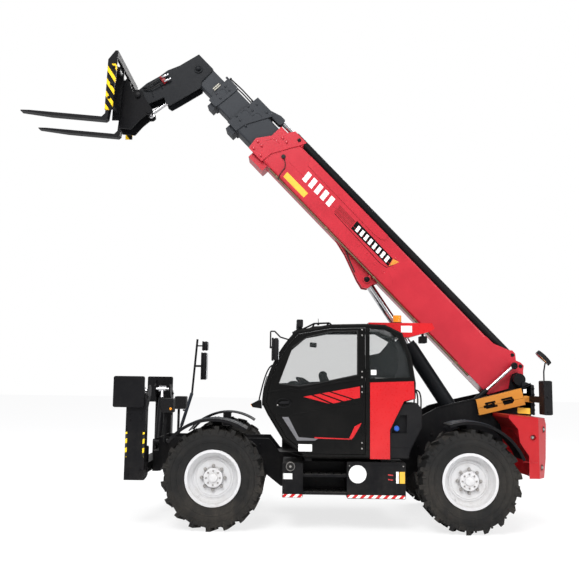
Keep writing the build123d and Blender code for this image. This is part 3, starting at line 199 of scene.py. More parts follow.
def build_surface():
    """Dust that settles low down and on top faces, blotches, rain streaks and worn edges."""
    tree = bpy.data.node_groups.new("worked_surface", "ShaderNodeTree")
    for socket, kind, default in (
            ("Colour", COLOUR, rgb(1, 1, 1)), ("Dust Colour", COLOUR, rgb(*DUST)),
            ("Dust", FLOAT, 0.3), ("Roughness", FLOAT, 0.4), ("Wear", FLOAT, 0.3),
            ("Wear Colour", COLOUR, rgb(*WEAR)), ("Bump", FLOAT, 0.1), ("Grain", FLOAT, 90.0)):
        made = tree.interface.new_socket(socket, in_out="INPUT", socket_type=kind)
        made.default_value = default
    for socket, kind in (("Colour", COLOUR), ("Roughness", FLOAT), ("Normal", VECTOR)):
        tree.interface.new_socket(socket, in_out="OUTPUT", socket_type=kind)
    given = tree.nodes.new("NodeGroupInput").outputs
    result = tree.nodes.new("NodeGroupOutput").inputs

    def times(a, b, clamp=False):
        return math(tree, "MULTIPLY", a, b, clamp)

    def plus(a, b, clamp=False):
        return math(tree, "ADD", a, b, clamp)

    coords = object_coords(tree)
    geometry = node(tree, "ShaderNodeNewGeometry")
    up = part_of(tree, geometry.outputs["Normal"], "Z")
    height = part_of(tree, coords, "Z")
    blotch = noise(tree, coords, 2.6, 6.0, 0.62)
    fine = noise(tree, coords, 38.0, 4.0, 0.6)
    upright = node(tree, "ShaderNodeMapping", {"Vector": coords, "Scale": (21.0, 21.0, 1.6)})
    streak = noise(tree, upright.outputs[0], 1.0, 4.0)
    low = ramp(tree, height, 0.1, 1.9, 1.0, 0.22)
    settled = ramp(tree, up, 0.35, 0.98, 0.0, 0.55)
    patchy = times(ramp(tree, blotch, 0.36, 0.72), low)
    run = times(ramp(tree, streak, 0.52, 0.74), 0.4)
    dirt = plus(plus(patchy, times(run, low)), settled)
    speck = ramp(tree, fine, 0.3, 0.7, 0.65, 1.2)
    dirt = times(times(dirt, speck), given["Dust"], True)
    bevel = node(tree, "ShaderNodeBevel", {"Radius": EDGE_RADIUS}, samples=4)
    turned = node(tree, "ShaderNodeVectorMath",
                  {0: bevel.outputs[0], 1: geometry.outputs["Normal"]}, operation="DOT_PRODUCT")
    edge = ramp(tree, turned.outputs["Value"], 0.80, 0.985, 1.0, 0.0)
    chipped = times(edge, ramp(tree, noise(tree, coords, 17.0, 5.0, 0.7), 0.52, 0.66))
    chipped = times(chipped, given["Wear"], True)
    tone = ramp(tree, blotch, 0.2, 0.8, 0.90, 1.08)
    shade = node(tree, "ShaderNodeCombineColor", {0: tone, 1: tone, 2: tone}).outputs[0]
    tinted = mix(tree, 1.0, given["Colour"], shade, "MULTIPLY")
    worn = mix(tree, chipped, tinted, given["Wear Colour"])
    final = mix(tree, dirt, worn, given["Dust Colour"])
    rough = plus(given["Roughness"], times(dirt, 0.5), True)
    rough = plus(rough, ramp(tree, fine, 0.2, 0.8, -0.03, 0.05), True)
    grain = noise(tree, coords, given["Grain"], 3.0)
    bump = node(tree, "ShaderNodeBump", {"Strength": given["Bump"], "Distance": GRAIN_DEPTH,
                                         "Height": grain, "Normal": bevel.outputs[0]})
    tree.links.new(final, result["Colour"])
    tree.links.new(rough, result["Roughness"])
    tree.links.new(bump.outputs[0], result["Normal"])
    return tree


SURFACE = build_surface()


def surface(name, colour, roughness, dust, wear, bump, grain, metallic=0.0, coat=0.0,
            dirt=DUST, worn=WEAR, specular=0.25, pattern=None):
    """A worked material: dirt and worn are the colours of its dust and of its bared edges, and
    pattern may return another colour socket made in this tree."""
    mat = bpy.data.materials.new(name)
    tree = cleared(mat)
    group = node(tree, "ShaderNodeGroup", {
        "Colour": pattern(tree) if pattern else rgb(*colour), "Dust Colour": rgb(*dirt),
        "Dust": dust, "Roughness": roughness, "Wear": wear, "Wear Colour": rgb(*worn),
        "Bump": bump, "Grain": grain}, node_tree=SURFACE)
    bsdf = node(tree, "ShaderNodeBsdfPrincipled", {
        "Base Color": group.outputs["Colour"], "Roughness": group.outputs["Roughness"],
        "Normal": group.outputs["Normal"], "Metallic": metallic, "Coat Weight": coat,
        "Coat Roughness": 0.12, "Specular IOR Level": specular})
    end_in(tree, "ShaderNodeOutputMaterial", bsdf)
    mat.diffuse_color = rgb(*colour)
    return mat


def bands(tree, slope_x, slope_y, slope_z, period, shift=0.0, share=0.5):
    """1 inside slanting bands, 0 between them."""
    x, y, z = (part_of(tree, object_coords(tree), axis) for axis in "XYZ")
    across = math(tree, "ADD", math(tree, "MULTIPLY", x, slope_x),
                  math(tree, "MULTIPLY", z, slope_z))
    across = math(tree, "ADD", across, math(tree, "MULTIPLY", y, slope_y))
    # the added whole periods keep the fraction's operand positive
    across = math(tree, "ADD", across, shift + 50 * period)
    phase = math(tree, "FRACT", math(tree, "DIVIDE", across, period))
    return math(tree, "LESS_THAN", phase, share)


def striped(first, second, *slopes_and_period):
    def pattern(tree):
        return mix(tree, bands(tree, *slopes_and_period), rgb(*first), rgb(*second))
    return pattern


def carriage_stripes(tree):
    """Slanting yellow stripes on the end plates' outer faces, below their bare top ends."""
    end_plate, bare_top = 0.6195, 0.19  # metres
    top = max(corner[2] for corner in nodes["fork_carriage"].bound_box)
    y, z = (part_of(tree, object_coords(tree), axis) for axis in "YZ")
    outer = math(tree, "GREATER_THAN", math(tree, "ABSOLUTE", y), end_plate)
    low = math(tree, "LESS_THAN", z, top - bare_top)
    inside = math(tree, "MULTIPLY", bands(tree, -1.5, 0.0, 1.0, 0.185, 0.05, 0.42),
                  math(tree, "MULTIPLY", outer, low))
    return mix(tree, inside, rgb(*BLACK), rgb(0.80, 0.52, 0.02))


def glass_material():
    mat = bpy.data.materials.new("window_glass")
    tree = cleared(mat)
    smear = ramp(tree, noise(tree, object_coords(tree), 3.0, 5.0), 0.45, 0.8, 0.02, 0.14)
    bsdf = node(tree, "ShaderNodeBsdfPrincipled", {
        "Base Color": rgb(0.06, 0.07, 0.07), "Roughness": smear, "Alpha": 0.13,
        "Coat Weight": 0.3, "Coat Roughness": 0.03})
    end_in(tree, "ShaderNodeOutputMaterial", bsdf)
    mat.diffuse_color = rgb(0.6, 0.65, 0.67)
    return mat


# The five numbers after each colour are roughness, dust, wear, bump and grain.
M = {
    "red": surface("red_paint", RED, 0.28, 0.08, 0.08, 0.01, 45.0, coat=0.25,
                   dirt=(0.30, 0.13, 0.10), worn=(0.35, 0.10, 0.09)),
    # the counterweight's red paint, darkened: the darkening is painted shade
    "shaded_red": surface("counterweight_red_with_painted_shade", (0.38, 0.006, 0.010), 0.34, 0.08, 0.08, 0.01, 45.0,
                        coat=0.1, dirt=(0.26, 0.11, 0.09), worn=(0.30, 0.09, 0.08)),
    "boom_red": surface("boom_red_paint", BOOM_RED, 0.30, 0.08, 0.10, 0.02, 45.0, coat=0.2,
                        dirt=(0.34, 0.17, 0.14), worn=(0.35, 0.10, 0.09)),
    "black": surface("black_paint", BLACK, 0.38, 0.16, 0.25, 0.05, 60.0, dirt=GRIME,
                     worn=(0.08, 0.08, 0.08), specular=0.08),
    "cab_black": surface("cab_black_paint", (0.004, 0.004, 0.004), 0.30, 0.08, 0.10, 0.02, 45.0,
                         coat=0.05, dirt=GRIME, worn=(0.05, 0.05, 0.05), specular=0.06),
    "slate": surface("slate_paint", (0.025, 0.028, 0.033), 0.48, 0.14, 0.35, 0.03, 50.0, dirt=GRIME,
                     worn=(0.13, 0.14, 0.15), specular=0.14),
    "charcoal": surface("charcoal_paint", (0.008, 0.009, 0.011), 0.42, 0.12, 0.4, 0.02, 50.0,
                        dirt=GRIME, worn=(0.11, 0.12, 0.13), specular=0.08),
    "silver": surface("rim_paint", (0.60, 0.60, 0.61), 0.42, 0.34, 0.2, 0.05, 60.0,
                      dirt=(0.30, 0.27, 0.23)),
    "tyre": surface("tyre_rubber", (0.012, 0.012, 0.012), 0.72, 0.55, 0.25, 0.35, 120.0,
                    dirt=(0.052, 0.046, 0.039), worn=(0.04, 0.04, 0.04), specular=0.16),
    "chrome": surface("ram_chrome", (0.45, 0.45, 0.46), 0.12, 0.05, 0.0, 0.01, 200.0, metallic=1.0),
    "steel": surface("bare_steel", (0.32, 0.31, 0.30), 0.38, 0.2, 0.1, 0.06, 120.0, metallic=0.9),
    "plastic": surface("moulded_plastic", (0.007, 0.007, 0.008), 0.56, 0.14, 0.1, 0.16, 420.0,
                       dirt=GRIME, specular=0.12),
    "rubber": surface("black_rubber", (0.008, 0.008, 0.008), 0.55, 0.25, 0.1, 0.08, 300.0,
                      dirt=GRIME),
    "fabric": surface("seat_fabric", (0.025, 0.025, 0.028), 0.9, 0.1, 0.0, 0.5, 700.0),
    "iron": surface("cast_iron", (0.05, 0.05, 0.052), 0.7, 0.4, 0.2, 0.35, 160.0),
    "pipe": surface("pipe_coating", (0.16, 0.10, 0.055), 0.4, 0.3, 0.2, 0.05, 100.0, metallic=0.4),
    "orange": surface("orange_paint", (0.56, 0.22, 0.03), 0.36, 0.12, 0.2, 0.04, 50.0),
    "amber": surface("amber_lens", (0.90, 0.32, 0.01), 0.14, 0.05, 0.0, 0.02, 50.0, coat=0.6),
    "red_lens": surface("red_lens", (0.42, 0.01, 0.012), 0.16, 0.08, 0.0, 0.02, 50.0, coat=0.6),
    "lamp": surface("lamp_lens", (0.62, 0.64, 0.66), 0.10, 0.05, 0.0, 0.12, 260.0, metallic=0.5,
                    coat=0.8),
    "mirror": surface("mirror_glass", (0.75, 0.77, 0.79), 0.05, 0.04, 0.0, 0.0, 100.0,
                      metallic=1.0),
    "blue": surface("blue_cap", (0.02, 0.09, 0.42), 0.4, 0.1, 0.0, 0.05, 200.0),
    "white": surface("white_label", (0.80, 0.80, 0.79), 0.42, 0.12, 0.0, 0.01, 60.0),
    "yellow": surface("yellow_label", (0.72, 0.42, 0.04), 0.42, 0.12, 0.0, 0.01, 60.0),
    "grey": surface("grey_moulding", (0.13, 0.13, 0.14), 0.5, 0.12, 0.0, 0.05, 200.0),
    "fender": surface("fender_plastic", (0.024, 0.030, 0.040), 0.42, 0.2, 0.1, 0.10, 300.0,
                      dirt=GRIME),
    "dark_red": surface("dark_red_paint", (0.22, 0.008, 0.012), 0.35, 0.1, 0.0, 0.03, 45.0),
    "pad": surface("wear_pad", (0.42, 0.40, 0.34), 0.6, 0.3, 0.0, 0.1, 200.0),
    "glass": glass_material(),
    "carriage": surface("carriage_paint", BLACK, 0.50, 0.14, 0.35, 0.05, 60.0, dirt=GRIME,
                        worn=(0.12, 0.12, 0.12), specular=0.05, pattern=carriage_stripes),
    "diagonal": surface("red_white_strip", RED, 0.4, 0.12, 0.0, 0.01, 60.0,
                        pattern=striped((0.80, 0.80, 0.78), RED, 0.9, 0.0, 0.9, 0.085)),
    "hazard": surface("black_yellow_strip", BLACK, 0.42, 0.15, 0.2, 0.04, 60.0,
                      pattern=striped(BLACK, (0.86, 0.60, 0.02), 0.5, 0.6, 1.0, 0.110)),
}

# A node takes the first look that lists its name or the start of its name.
LOOKS = {
    "red": ["cab_quarter_panel", "roof_extension"], "shaded_red": ["counterweight"],
    "boom_red": ["boom_outer"], "cab_black": ["cab_frame", "cab_door", "engine_hood"],
    "chrome": ["lift_rod", "level_rod", "tilt_rod", "extension_rod", "stabiliser_left_rod",
               "stabiliser_right_rod"],
    "black": ["chassis_frame", "tow_clevis", "front_axle", "rear_axle", "side_boxes",
              "level_barrel", "tilt_barrel", "extension_barrel", "forks", "knuckle_",
              "stabiliser_"],
    "slate": ["boom_2", "boom_3", "boom_4"], "charcoal": ["boom_head", "lift_barrel"],
    "plastic": ["fuel_tank", "console", "lamps", "mirrors", "rear_panels"],
    "glass": ["cab_glass", "door_glass"], "iron": ["engine_block"], "pipe": ["boom_pipes"],
    "orange": ["safety_strut"], "amber": ["beacon"], "fabric": ["seat"],
    "carriage": ["fork_carriage"], "silver": ["rim_"], "tyre": ["tyre_"],
}
for name, made in nodes.items():
    look = next(key for key, starts in LOOKS.items() if name.startswith(tuple(starts)))
    for slot in made.material_slots:
        slot.link = "OBJECT"
        slot.material = M[look]


# ---- mesh helpers
# Every helper draws in this one mesh; piece() makes an object of it and empties it.
bm = bmesh.new()
SHARP = radians(40)


def prism(at, points, low, high, width=0.0):
    """Polygon drawn in a place's x and y, between two heights along its z, edges softened."""
    first, second = ([bm.verts.new(at @ Vector((a / 1000, b / 1000, z / 1000))) for a, b in points]
                     for z in (low, high))
    faces = [bm.faces.new(first), bm.faces.new(second)]
    for k in range(len(points)):
        j = (k + 1) % len(points)
        faces.append(bm.faces.new((first[k], first[j], second[j], second[k])))
    bmesh.ops.recalc_face_normals(bm, faces=faces)
    if width:
        bmesh.ops.bevel(bm, geom=list({e for f in faces for e in f.edges}), offset=width / 1000,
                        segments=2, profile=0.5, affect="EDGES", clamp_overlap=True, material=-1)


def disc(at, centre, radius, low, high, sides=20, width=0.0):
    prism(at, oval(sides, radius, radius, centre), low, high, width)


def bolt(at, flats, centre=(0, 0), base=0, sense=1):
    """Hexagon head on its washer, standing out along the place's z; flats is its key size."""
    disc(at, centre, flats * 0.72, base, base + sense * flats * 0.10, 16)
    disc(at, centre, flats * 0.577, base + sense * flats * 0.09, base + sense * flats * 0.62,
         6, flats * 0.05)


def side_bolt(x, z, y, flats, h=1):
    """A bolt on a face that looks out to hand h, y from the middle plane."""
    bolt(SIDE, flats, (x, z), -h * y, -h)


def lathe(at, profile, sides=48, centre=(0, 0)):
    """Profile of (radius, height) turned about the place's z through the centre."""
    rings = []
    for k in range(sides):
        a = 2 * pi * k / sides
        rings.append([bm.verts.new(at @ Vector(((centre[0] + r * cos(a)) / 1000,
                                                (centre[1] + r * sin(a)) / 1000, height / 1000)))
                      for r, height in profile])
    faces = []
    for k in range(sides):
        one, two = rings[k], rings[(k + 1) % sides]
        for j in range(len(profile) - 1):
            faces.append(bm.faces.new((one[j], one[j + 1], two[j + 1], two[j])))
    bmesh.ops.recalc_face_normals(bm, faces=faces)


def bead(inner, outer, low, high, slope):
    """Lathe profile of a raised ring."""
    return [(inner, low), (inner + slope, high), (outer - slope, high), (outer, low)]


def rod(radius, length, start=0):
    """Lathe profile of a plain round bar."""
    return [(0, start), (radius, start), (radius, start + length), (0, start + length)]


def band(at, points, half, low, high, width=0.0, closed=False):
    """Raised strip of even width along a line of points, with mitred corners."""
    count = len(points)
    lefts, rights = [], []
    for k, p in enumerate(points):
        a = points[k - 1] if (k or closed) else p
        b = points[(k + 1) % count] if (k < count - 1 or closed) else p
        before, after = Vector(p) - Vector(a), Vector(b) - Vector(p)
        before = (before if before.length else after).normalized()
        after = (after if after.length else before).normalized()
        middle = (before + after).normalized()
        normal = Vector((-middle.y, middle.x))
        reach = half / max(0.35, normal.dot(Vector((-after.y, after.x))))
        lefts.append(Vector(p) + normal * reach)
        rights.append(Vector(p) - normal * reach)
    for k in range(count if closed else count - 1):
        j = (k + 1) % count
        prism(at, [lefts[k], lefts[j], rights[j], rights[k]], low, high, width)


def add_object(name, data):
    made = bpy.data.objects.new(name, data)
    bpy.context.collection.objects.link(made)
    return made


def piece(name, look, body="chassis"):
    for f in bm.faces:
        f.smooth = True
    for e in bm.edges:
        e.smooth = len(e.link_faces) == 2 and e.calc_face_angle(0) < SHARP
    mesh = bpy.data.meshes.new(name)
    bm.to_mesh(mesh)
    bm.clear()
    mesh.materials.append(M[look])
    made = add_object(name, mesh)
    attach(made, body)


def hose(name, points, radius, body="chassis", look="rubber"):
    """A smooth round line through the run of points, in metres."""
    curve = bpy.data.curves.new(name, "CURVE")
    curve.dimensions = "3D"
    curve.bevel_depth = radius / 1000
    curve.bevel_resolution = 3
    curve.resolution_u = 6
    curve.use_fill_caps = True
    spline = curve.splines.new("NURBS")
    spline.points.add(len(points) - 1)
    for p, q in zip(spline.points, points):
        p.co = (*q, 1.0)
    spline.order_u = 3
    spline.use_endpoint_u = True
    curve.materials.append(M[look])
    made = add_object(name, curve)
    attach(made, body)


# ---- wheels
RIM_RINGS = ((301, 168), (290, 139), (262, 90), (240, 76), (132, 76))  # radius, height
SIDEWALL_RINGS = ((348, 372, 181), (430, 444, 200.5), (505, 512, 200))  # radii, height
NUT_RING, HUB_RING, VALVE_RING, VALVE_TURN, SHOULDER_MARKS = 142, 84, 276, 0.9, 36
for corner in [name[len("rim_"):] for name in nodes if name.startswith("rim_")]:
    end, hand = corner.split("_")
    h = HANDS[hand]
    body = "wheel_" + corner
    hub = sideways(AXLES[end], h * WHEEL_Y, AXLE_Z, h)
    for spot in oval(8, NUT_RING, NUT_RING, turn=pi / 4):
        bolt(hub, 30, spot, 96)
    for spot in oval(8, HUB_RING, HUB_RING):
        bolt(hub, 15, spot, 126)
    piece(f"wheel_nuts_{corner}", "steel", body)
    lathe(hub, [(0, 142), (40, 142), (52, 136), (56, 125)], 32)
    lathe(hub, [(333, 178), (339, 179), (341, 172), (338, 165)], 64)
    lathe(hub, [(206, 75), (214, 81), (222, 75)])
    disc(hub, (VALVE_RING * cos(VALVE_TURN), VALVE_RING * sin(VALVE_TURN)), 6, 100, 150, 10, 1)
    for r, height in RIM_RINGS:
        lathe(hub, [(r - 3, height - 5), (r - 1, height + 4), (r + 2, height + 4),
                    (r + 3, height - 3)], 64)
    piece(f"hub_cap_{corner}", "silver", body)
    for face in (1, -1):
        for inner, outer, height in SIDEWALL_RINGS:
            lathe(hub, bead(inner, outer, face * (height - 5), face * (height + 2), 3), 64)
    for k in range(SHOULDER_MARKS):
        spoke = hub @ Matrix.Rotation(2 * pi * (k + 0.5) / SHOULDER_MARKS, 4, "Z")
        for face in (1, -1):
            prism(spoke, [(535, -9), (588, -12), (588, 12), (535, 9)], face * 180, face * 201, 2)
    piece(f"sidewall_{corner}", "tyre", body)

# ---- boom
# white bars: how many, first u, step, width, lean, w of their top and foot, thickness
BARS = ((8, 2985, 82, 46, 14, -82, -168, 2.5), (5, 4020, 118, 72, 22, -62, -204, LABEL))
for hand, h in HANDS.items():
    skin = layer(BOOM_FACE, LABEL, h)
    prism(BOOM_SIDE, [(3046, -55), (2330, -64), (2296, -182), (3030, -190)], *skin)
    band(BOOM_SIDE, [(3340, -209), (2419, -236), (2300, -212), (2262, -120)], 3.5, *skin)
    piece(f"boom_stripe_{hand}", "cab_black", "boom")
    for k in range(6):
        w = -76 - 21 * k
        prism(BOOM_SIDE, rect(3372 - 3 * k, 3056 - 3 * k, w, w - 12), *skin)
    piece(f"boom_hatch_{hand}", "dark_red", "boom")
    for count, first, step, wide, lean, top, foot, thick in BARS:
        for k in range(count):
            u = first - step * k
            prism(BOOM_SIDE, [(u, top), (u - wide, top), (u - wide - lean, foot),
                              (u - lean, foot)], *layer(BOOM_FACE, thick, h))
    piece(f"boom_bars_{hand}", "white", "boom")
    prism(BOOM_SIDE, [(2322, -62), (2232, -32), (2262, -118), (2288, -182)], *skin)
    piece(f"boom_tip_{hand}", "orange", "boom")
    prism(BOOM_SIDE, [(4217, -282), (3798, -280), (3793, -366), (4207, -368)], *skin)
    piece(f"boom_label_{hand}", "yellow", "boom")
    # weld seams, dimples and the collar's bolts
    for seam in ([(4320, -165), (3354, -146), (2200, -146)],
                 [(2200, -250), (2110, -275), (2073, -309), (2080, -360), (2110, -395)]):
        band(BOOM_SIDE, seam, 2.2, *layer(BOOM_FACE, 2, h))
    base, crest = layer(BOOM_FACE, 3.5, h)
    for u in (2277, 2444, 2618, 2789):
        lathe(BOOM_SIDE, [(14, base), (18, crest), (23, base)], 24, (u, -285))
    band(BOOM_SIDE, [(4750, -185), (4712, -120), (4662, -86), (4584, -84)], 5,
         *layer(COLLAR_FACE, 3, h), 1)
    for u, w in ((4812, -286), (4732, -288), (4612, 5), (4530, 5), (4640, -395), (4780, -395)):
        bolt(outward(u, w, h, COLLAR_FACE), 30)
    for spot in ((2300, -30), (2368, -470)):
        disc(BOOM_SIDE, spot, 16, *layer(BOOM_FACE, 4, h), 16, 1)
    piece(f"boom_trim_{hand}", "boom_red", "boom")
    # ends of the pins
    disc(BOOM_SIDE, (4430, 150), 26, *layer(COLLAR_FACE, 11, h), 20, 2)
    disc(BOOM_SIDE, LIFT_PIN, 40, *layer(102, 25, h), 28, 3)
    bolt(outward(*LIFT_PIN, h, 127), 34)
    disc(BOOM_SIDE, (270, 195), 24, *layer(BOOM_FACE - 1, 10, h), 24, 2)
    disc(BOOM_SIDE, (88, 168), 27, *layer(BOOM_FACE, 4, h), 24, 1)
    piece(f"boom_pins_{hand}", "black", "boom")

# ---- boom sections and head
# collars of the second and third sections: outer half width, bolts, pressed C-shapes, plugs
COLLAR_TRIM = {
    "boom_2": (175, [(5288, -28), (5208, -26), (5299, -247), (5217, -250), (5110, -247)],
               [[(5299, -169), (5292, -100), (5258, -79), (5190, -80), (5185, -100)],
                [(5149, -87), (5142, -10), (5117, 11), (5052, 10), (5048, -8)]],
               [(5232, 83), (5049, 101)]),
    "boom_3": (146, [(5738, -59), (5659, -59), (5747, -226), (5660, -230)],
               [[(5751, -165), (5745, -112), (5721, -99), (5652, -100), (5647, -120)]],
               [(5816, 41)]),
}
for section, (width, bolts, pressings, plugs) in COLLAR_TRIM.items():
    for h in (1, -1):
        for u, w in bolts:
            bolt(outward(u, w, h, width), 24)
        for line in pressings:
            band(BOOM_SIDE, line, 4, *layer(width, 3, h), 0.8)
        for spot in plugs:
            disc(BOOM_SIDE, spot, 17, *layer(width - 1, 13, h), 20, 2)
    piece(f"collar_bolts_{section}", "slate", section)
for h in (1, -1):
    # bar of the retraction chain, from the third section's collar back over the second's
    band(BOOM_SIDE, [(5800, 86), (5560, 98), (5330, 92)], 9, *layer(70, 14, h), 2)
    for u in (5790, 5345):
        disc(BOOM_SIDE, (u, 88), 15, *layer(66, 26, h), 16, 2)
piece("chain_bars", "black", "boom_3")
# wear pads let into the mouth of the third section's collar
for h in (1, -1):
    for u in (5840, 5812):
        prism(outward(u, -150, h, 124), rect(-8, 8, -60, 60), 0, 3, 1)
piece("wear_pads_boom_3", "pad", "boom_3")

for h in (1, -1):
    bolt(outward(6201, -160, h, HEAD_FACE + 1), 52)
    lathe(outward(6201, -160, h, HEAD_FACE), bead(40, 62, 0, 5, 4), 36)
    band(BOOM_SIDE, [(6536, -818), (6335, -906)], 3, *layer(HEAD_FACE, 3, h), 0.8)
    band(BOOM_SIDE, [(6468, -786), (6454, -718), (6440, -708), (6345, -720), (6340, -740)],
         3.5, *layer(HEAD_FACE, 4, h), 0.8)
    disc(outward(*TILT, h, HEAD_FACE + 1), (0, 0), 46, 0, 12, 28, 3)
    bolt(outward(*TILT, h, HEAD_FACE + 12), 30)
piece("head_trim", "charcoal", "boom_4")
COUPLERS = ((6457, -629, 6419, -523), (6387, -646, 6344, -522))  # u and w, low and high
COUPLER_Y = HEAD_FACE + 30
for u0, w0, u1, w1 in COUPLERS:
    lathe(aimed(boom_point(u0, w0, COUPLER_Y), boom_point(u1, w1, COUPLER_Y)),
          [(0, 0), (13, 0), (15, 6), (15, 48), (18, 50), (18, 72), (14, 78), (14, 104), (0, 106)],
          20)
piece("couplers", "chrome", "boom_4")
for u, w in (ends[:2] for ends in COUPLERS):
    lathe(aimed(boom_point(u, w, COUPLER_Y), boom_point(u - 38, w + 110, COUPLER_Y)),
          [(0, -22), (17, -22), (19, -16), (19, -2), (12, 0)], 20)
prism(BOOM_SIDE, [(6480, -660), (6360, -670), (6366, -610), (6470, -600)], *layer(HEAD_FACE, 20), 3)
piece("coupler_caps", "dark_red", "boom_4")
for number, (u0, w0, u1, w1) in enumerate(((6457, -640, 6540, -930), (6387, -655, 6500, -940))):
    hose(f"head_hose_{number}",
         [boom_point(u0, w0, 150), boom_point(u0 + 20, w0 - 90, 165),
          boom_point(u1 - 60, w1 + 60, 160), boom_point(u1, w1, 128)], 9, "boom_4")

# ---- carriage
for h in (1, -1):
    for spot in ((245, 180), (245, -60), (262, -250)):
        disc(FORK_SIDE, spot, 24, *layer(CARRIAGE_FACE, 5, h), 20, 1.5)
        bolt(FORK_SIDE, 24, spot, -h * (CARRIAGE_FACE + 5), -h)
    disc(FORK_SIDE, (0, 0), 40, *layer(172, 12, h), 24, 3)
piece("carriage_bolts", "black", "carriage")
for h in (1, -1):
    for y in (300, 418):
        prism(FORK_SIDE, rect(262, 302, 215, 255), *layer(y, 22, h), 3)
    # latch on top of each fork's hook
    disc(FORK_SIDE, (322, 292), 14, *layer(350, 40, h), 14, 2)
piece("fork_latches", "iron", "carriage")

# ---- door
for line, half, thick, width in (
        ([(905, 1656), (653, 1700), (508, 1678), (170, 1766), (-228, 1831)], 11, 9, 3),
        ([(905, 1391), (648, 1376), (96, 1492), (-221, 1532)], 4, 3, 1),
        ([(640, 942), (500, 900), (-262, 900), (-262, 2452)], 3, 3, 1)):
    band(SIDE, line, half, *layer(DOOR_FACE, thick), width)
for z in HINGES:
    prism(SIDE, rect(-232, -280, z - HINGE_HALF, z + HINGE_HALF), *layer(DOOR_FACE, 7), 2)
piece("door_creases", "cab_black", "door")
band(SIDE, [(770, 1760), (520, 1735), (260, 1780), (-190, 1880), (-190, 2420), (150, 2405),
            (430, 2335), (610, 2205)], 7, *layer(DOOR_FACE - 1, 5), 2)
piece("door_window_seal", "rubber", "door")


def between(edge, t):
    (x0, z0), (x1, z1) = edge
    return x0 + t * (x1 - x0), z0 + t * (z1 - z0)


# red slashes: each from two shares of the upper edge down to two shares of the lower one
TOP_EDGE, LOW_EDGE = ((471, 1606), (-221, 1742)), ((133, 1523), (-221, 1604))
for top_a, top_b, low_a, low_b in ((0, 0.14, 0, 0), (0.18, 0.29, 0.36, 0.09),
                                   (0.33, 0.455, 0.72, 0.45), (0.495, 1, 1, 0.81)):
    corners = [between(TOP_EDGE, top_a), between(TOP_EDGE, top_b), between(LOW_EDGE, low_a)]
    if low_a != low_b:
        corners.append(between(LOW_EDGE, low_b))
    prism(SIDE, corners, *layer(DOOR_FACE, LABEL))
for corners in ([(329, 1124), (-93, 1112), (-110, 1100), (329, 1108)],
                [(-93, 1116), (-157, 1258), (-241, 1302), (-222, 1259), (-145, 1128),
                 (-117, 1100)]):
    prism(SIDE, corners, *layer(DOOR_FACE, LABEL))
piece("door_slashes", "red", "door")
prism(SIDE, [(725, 1360), (648, 1361), (520, 1120), (285, 1106), (321, 1082), (537, 1079)],
      *layer(DOOR_FACE, 5), 1.5)
piece("door_moulding", "grey", "door")
prism(SIDE, rect(524, 357, 952, 1038), *layer(DOOR_FACE, 1.2))
piece("door_label", "white", "door")
band(SIDE, oval(32, 90, 52, (711, 1527)), 5, *layer(DOOR_FACE, 5), 1.5, closed=True)
prism(SIDE, [(640, 1552), (740, 1548), (775, 1527), (740, 1512), (640, 1520)],
      *layer(DOOR_FACE, 14), 4)
piece("door_handle", "plastic", "door")
disc(SIDE, (782, 1502), 10, *layer(DOOR_FACE, 8), 16, 1.5)
for z in HINGES:
    for dz in HINGE_BOLTS:
        side_bolt(-246, z + dz, DOOR_FACE + 7, 15)
piece("door_bolts", "steel", "door")

# ---- cab
for z in HINGES:
    prism(SIDE, rect(-296, -338, z - HINGE_HALF, z + HINGE_HALF), *layer(DOOR_FACE, 6), 2)
    for dz in HINGE_BOLTS:
        side_bolt(-318, z + dz, DOOR_FACE + 6, 15)
band(SIDE, [(-352, 1835), (-850, 1850), (-790, 2165), (-690, 2345), (-540, 2440), (-352, 2450)],
     7, *layer(DOOR_FACE - 1, 5), 2)
# lower front corner of the body, below the windscreen
prism(SIDE, [(1112, 1508), (1015, 1560), (985, 1560), (975, 1454), (1086, 1470)],
      *layer(1040, 72), 8)
piece("cab_trim", "cab_black")
prism(SIDE, [(1116, 1506), (1112, 1512), (1084, 1470), (1090, 1470)], *layer(1050, 50), 1)
piece("cab_indicator", "amber")

# blank labels: their outline, the face they are on and their thickness
for outline, y, thick in ((rect(-356, -424, 1882, 1944), 1133, 1.2),
                          (rect(-762, -902, 2424, 2508), 900, LABEL),
                          (oval(48, 107, 107, (-195, 691)), BOX_FACE, LABEL),
                          (rect(704, 592, 622, 690), BOX_FACE, LABEL),
                          (rect(-659, -690, 587, 725), BOX_FACE, LABEL),
                          (rect(-2456, -2500, 1672, 1728), PLATE_FACE, LABEL)):
    prism(SIDE, outline, *layer(y, thick))
piece("white_labels", "white")
prism(SIDE, rect(-700, -766, 587, 725), *layer(BOX_FACE, LABEL))
prism(SIDE, [(-2374, 1486), (-2542, 1476), (-2542, 1400), (-2374, 1410)], *layer(PLATE_FACE, LABEL))
piece("yellow_labels", "yellow")

# ---- side boxes and steps
STEP_LAMP = (616, 771)
for x0, x1 in ((-769, -73), (470, 706)):
    prism(SIDE, rect(x0, x1, 408, 446), *layer(BOX_FACE, LABEL))
piece("edge_strips", "diagonal")
for z in (696, 640):
    prism(SIDE, [(-562, z), (-622, z - 6), (-622, z - 20), (-562, z - 14)], *layer(BOX_FACE, 2))
piece("box_reflectors", "red_lens")
base, crest = layer(BOX_FACE, 8)
lathe(SIDE, [(44, base), (50, crest), (56, base)], 28, STEP_LAMP)
disc(SIDE, STEP_LAMP, 14, *layer(BOX_FACE, 12), 20, 2)
for x in (-746, -96):
    disc(SIDE, (x, 790), 8, *layer(BOX_FACE, 5), 12, 1)
piece("step_lamp", "steel")
disc(SIDE, STEP_LAMP, 45, *layer(BOX_FACE - 1, 3), 28)
piece("dark_discs", "rubber")
# teeth along the steps' edges
for z in (470, 680):
    for k in range(34):
        x = -60 + 15.4 * k
        prism(SIDE, [(x, z), (x + 8, z), (x + 4, z + 7)], *layer(1100, 30))
piece("step_teeth", "iron")
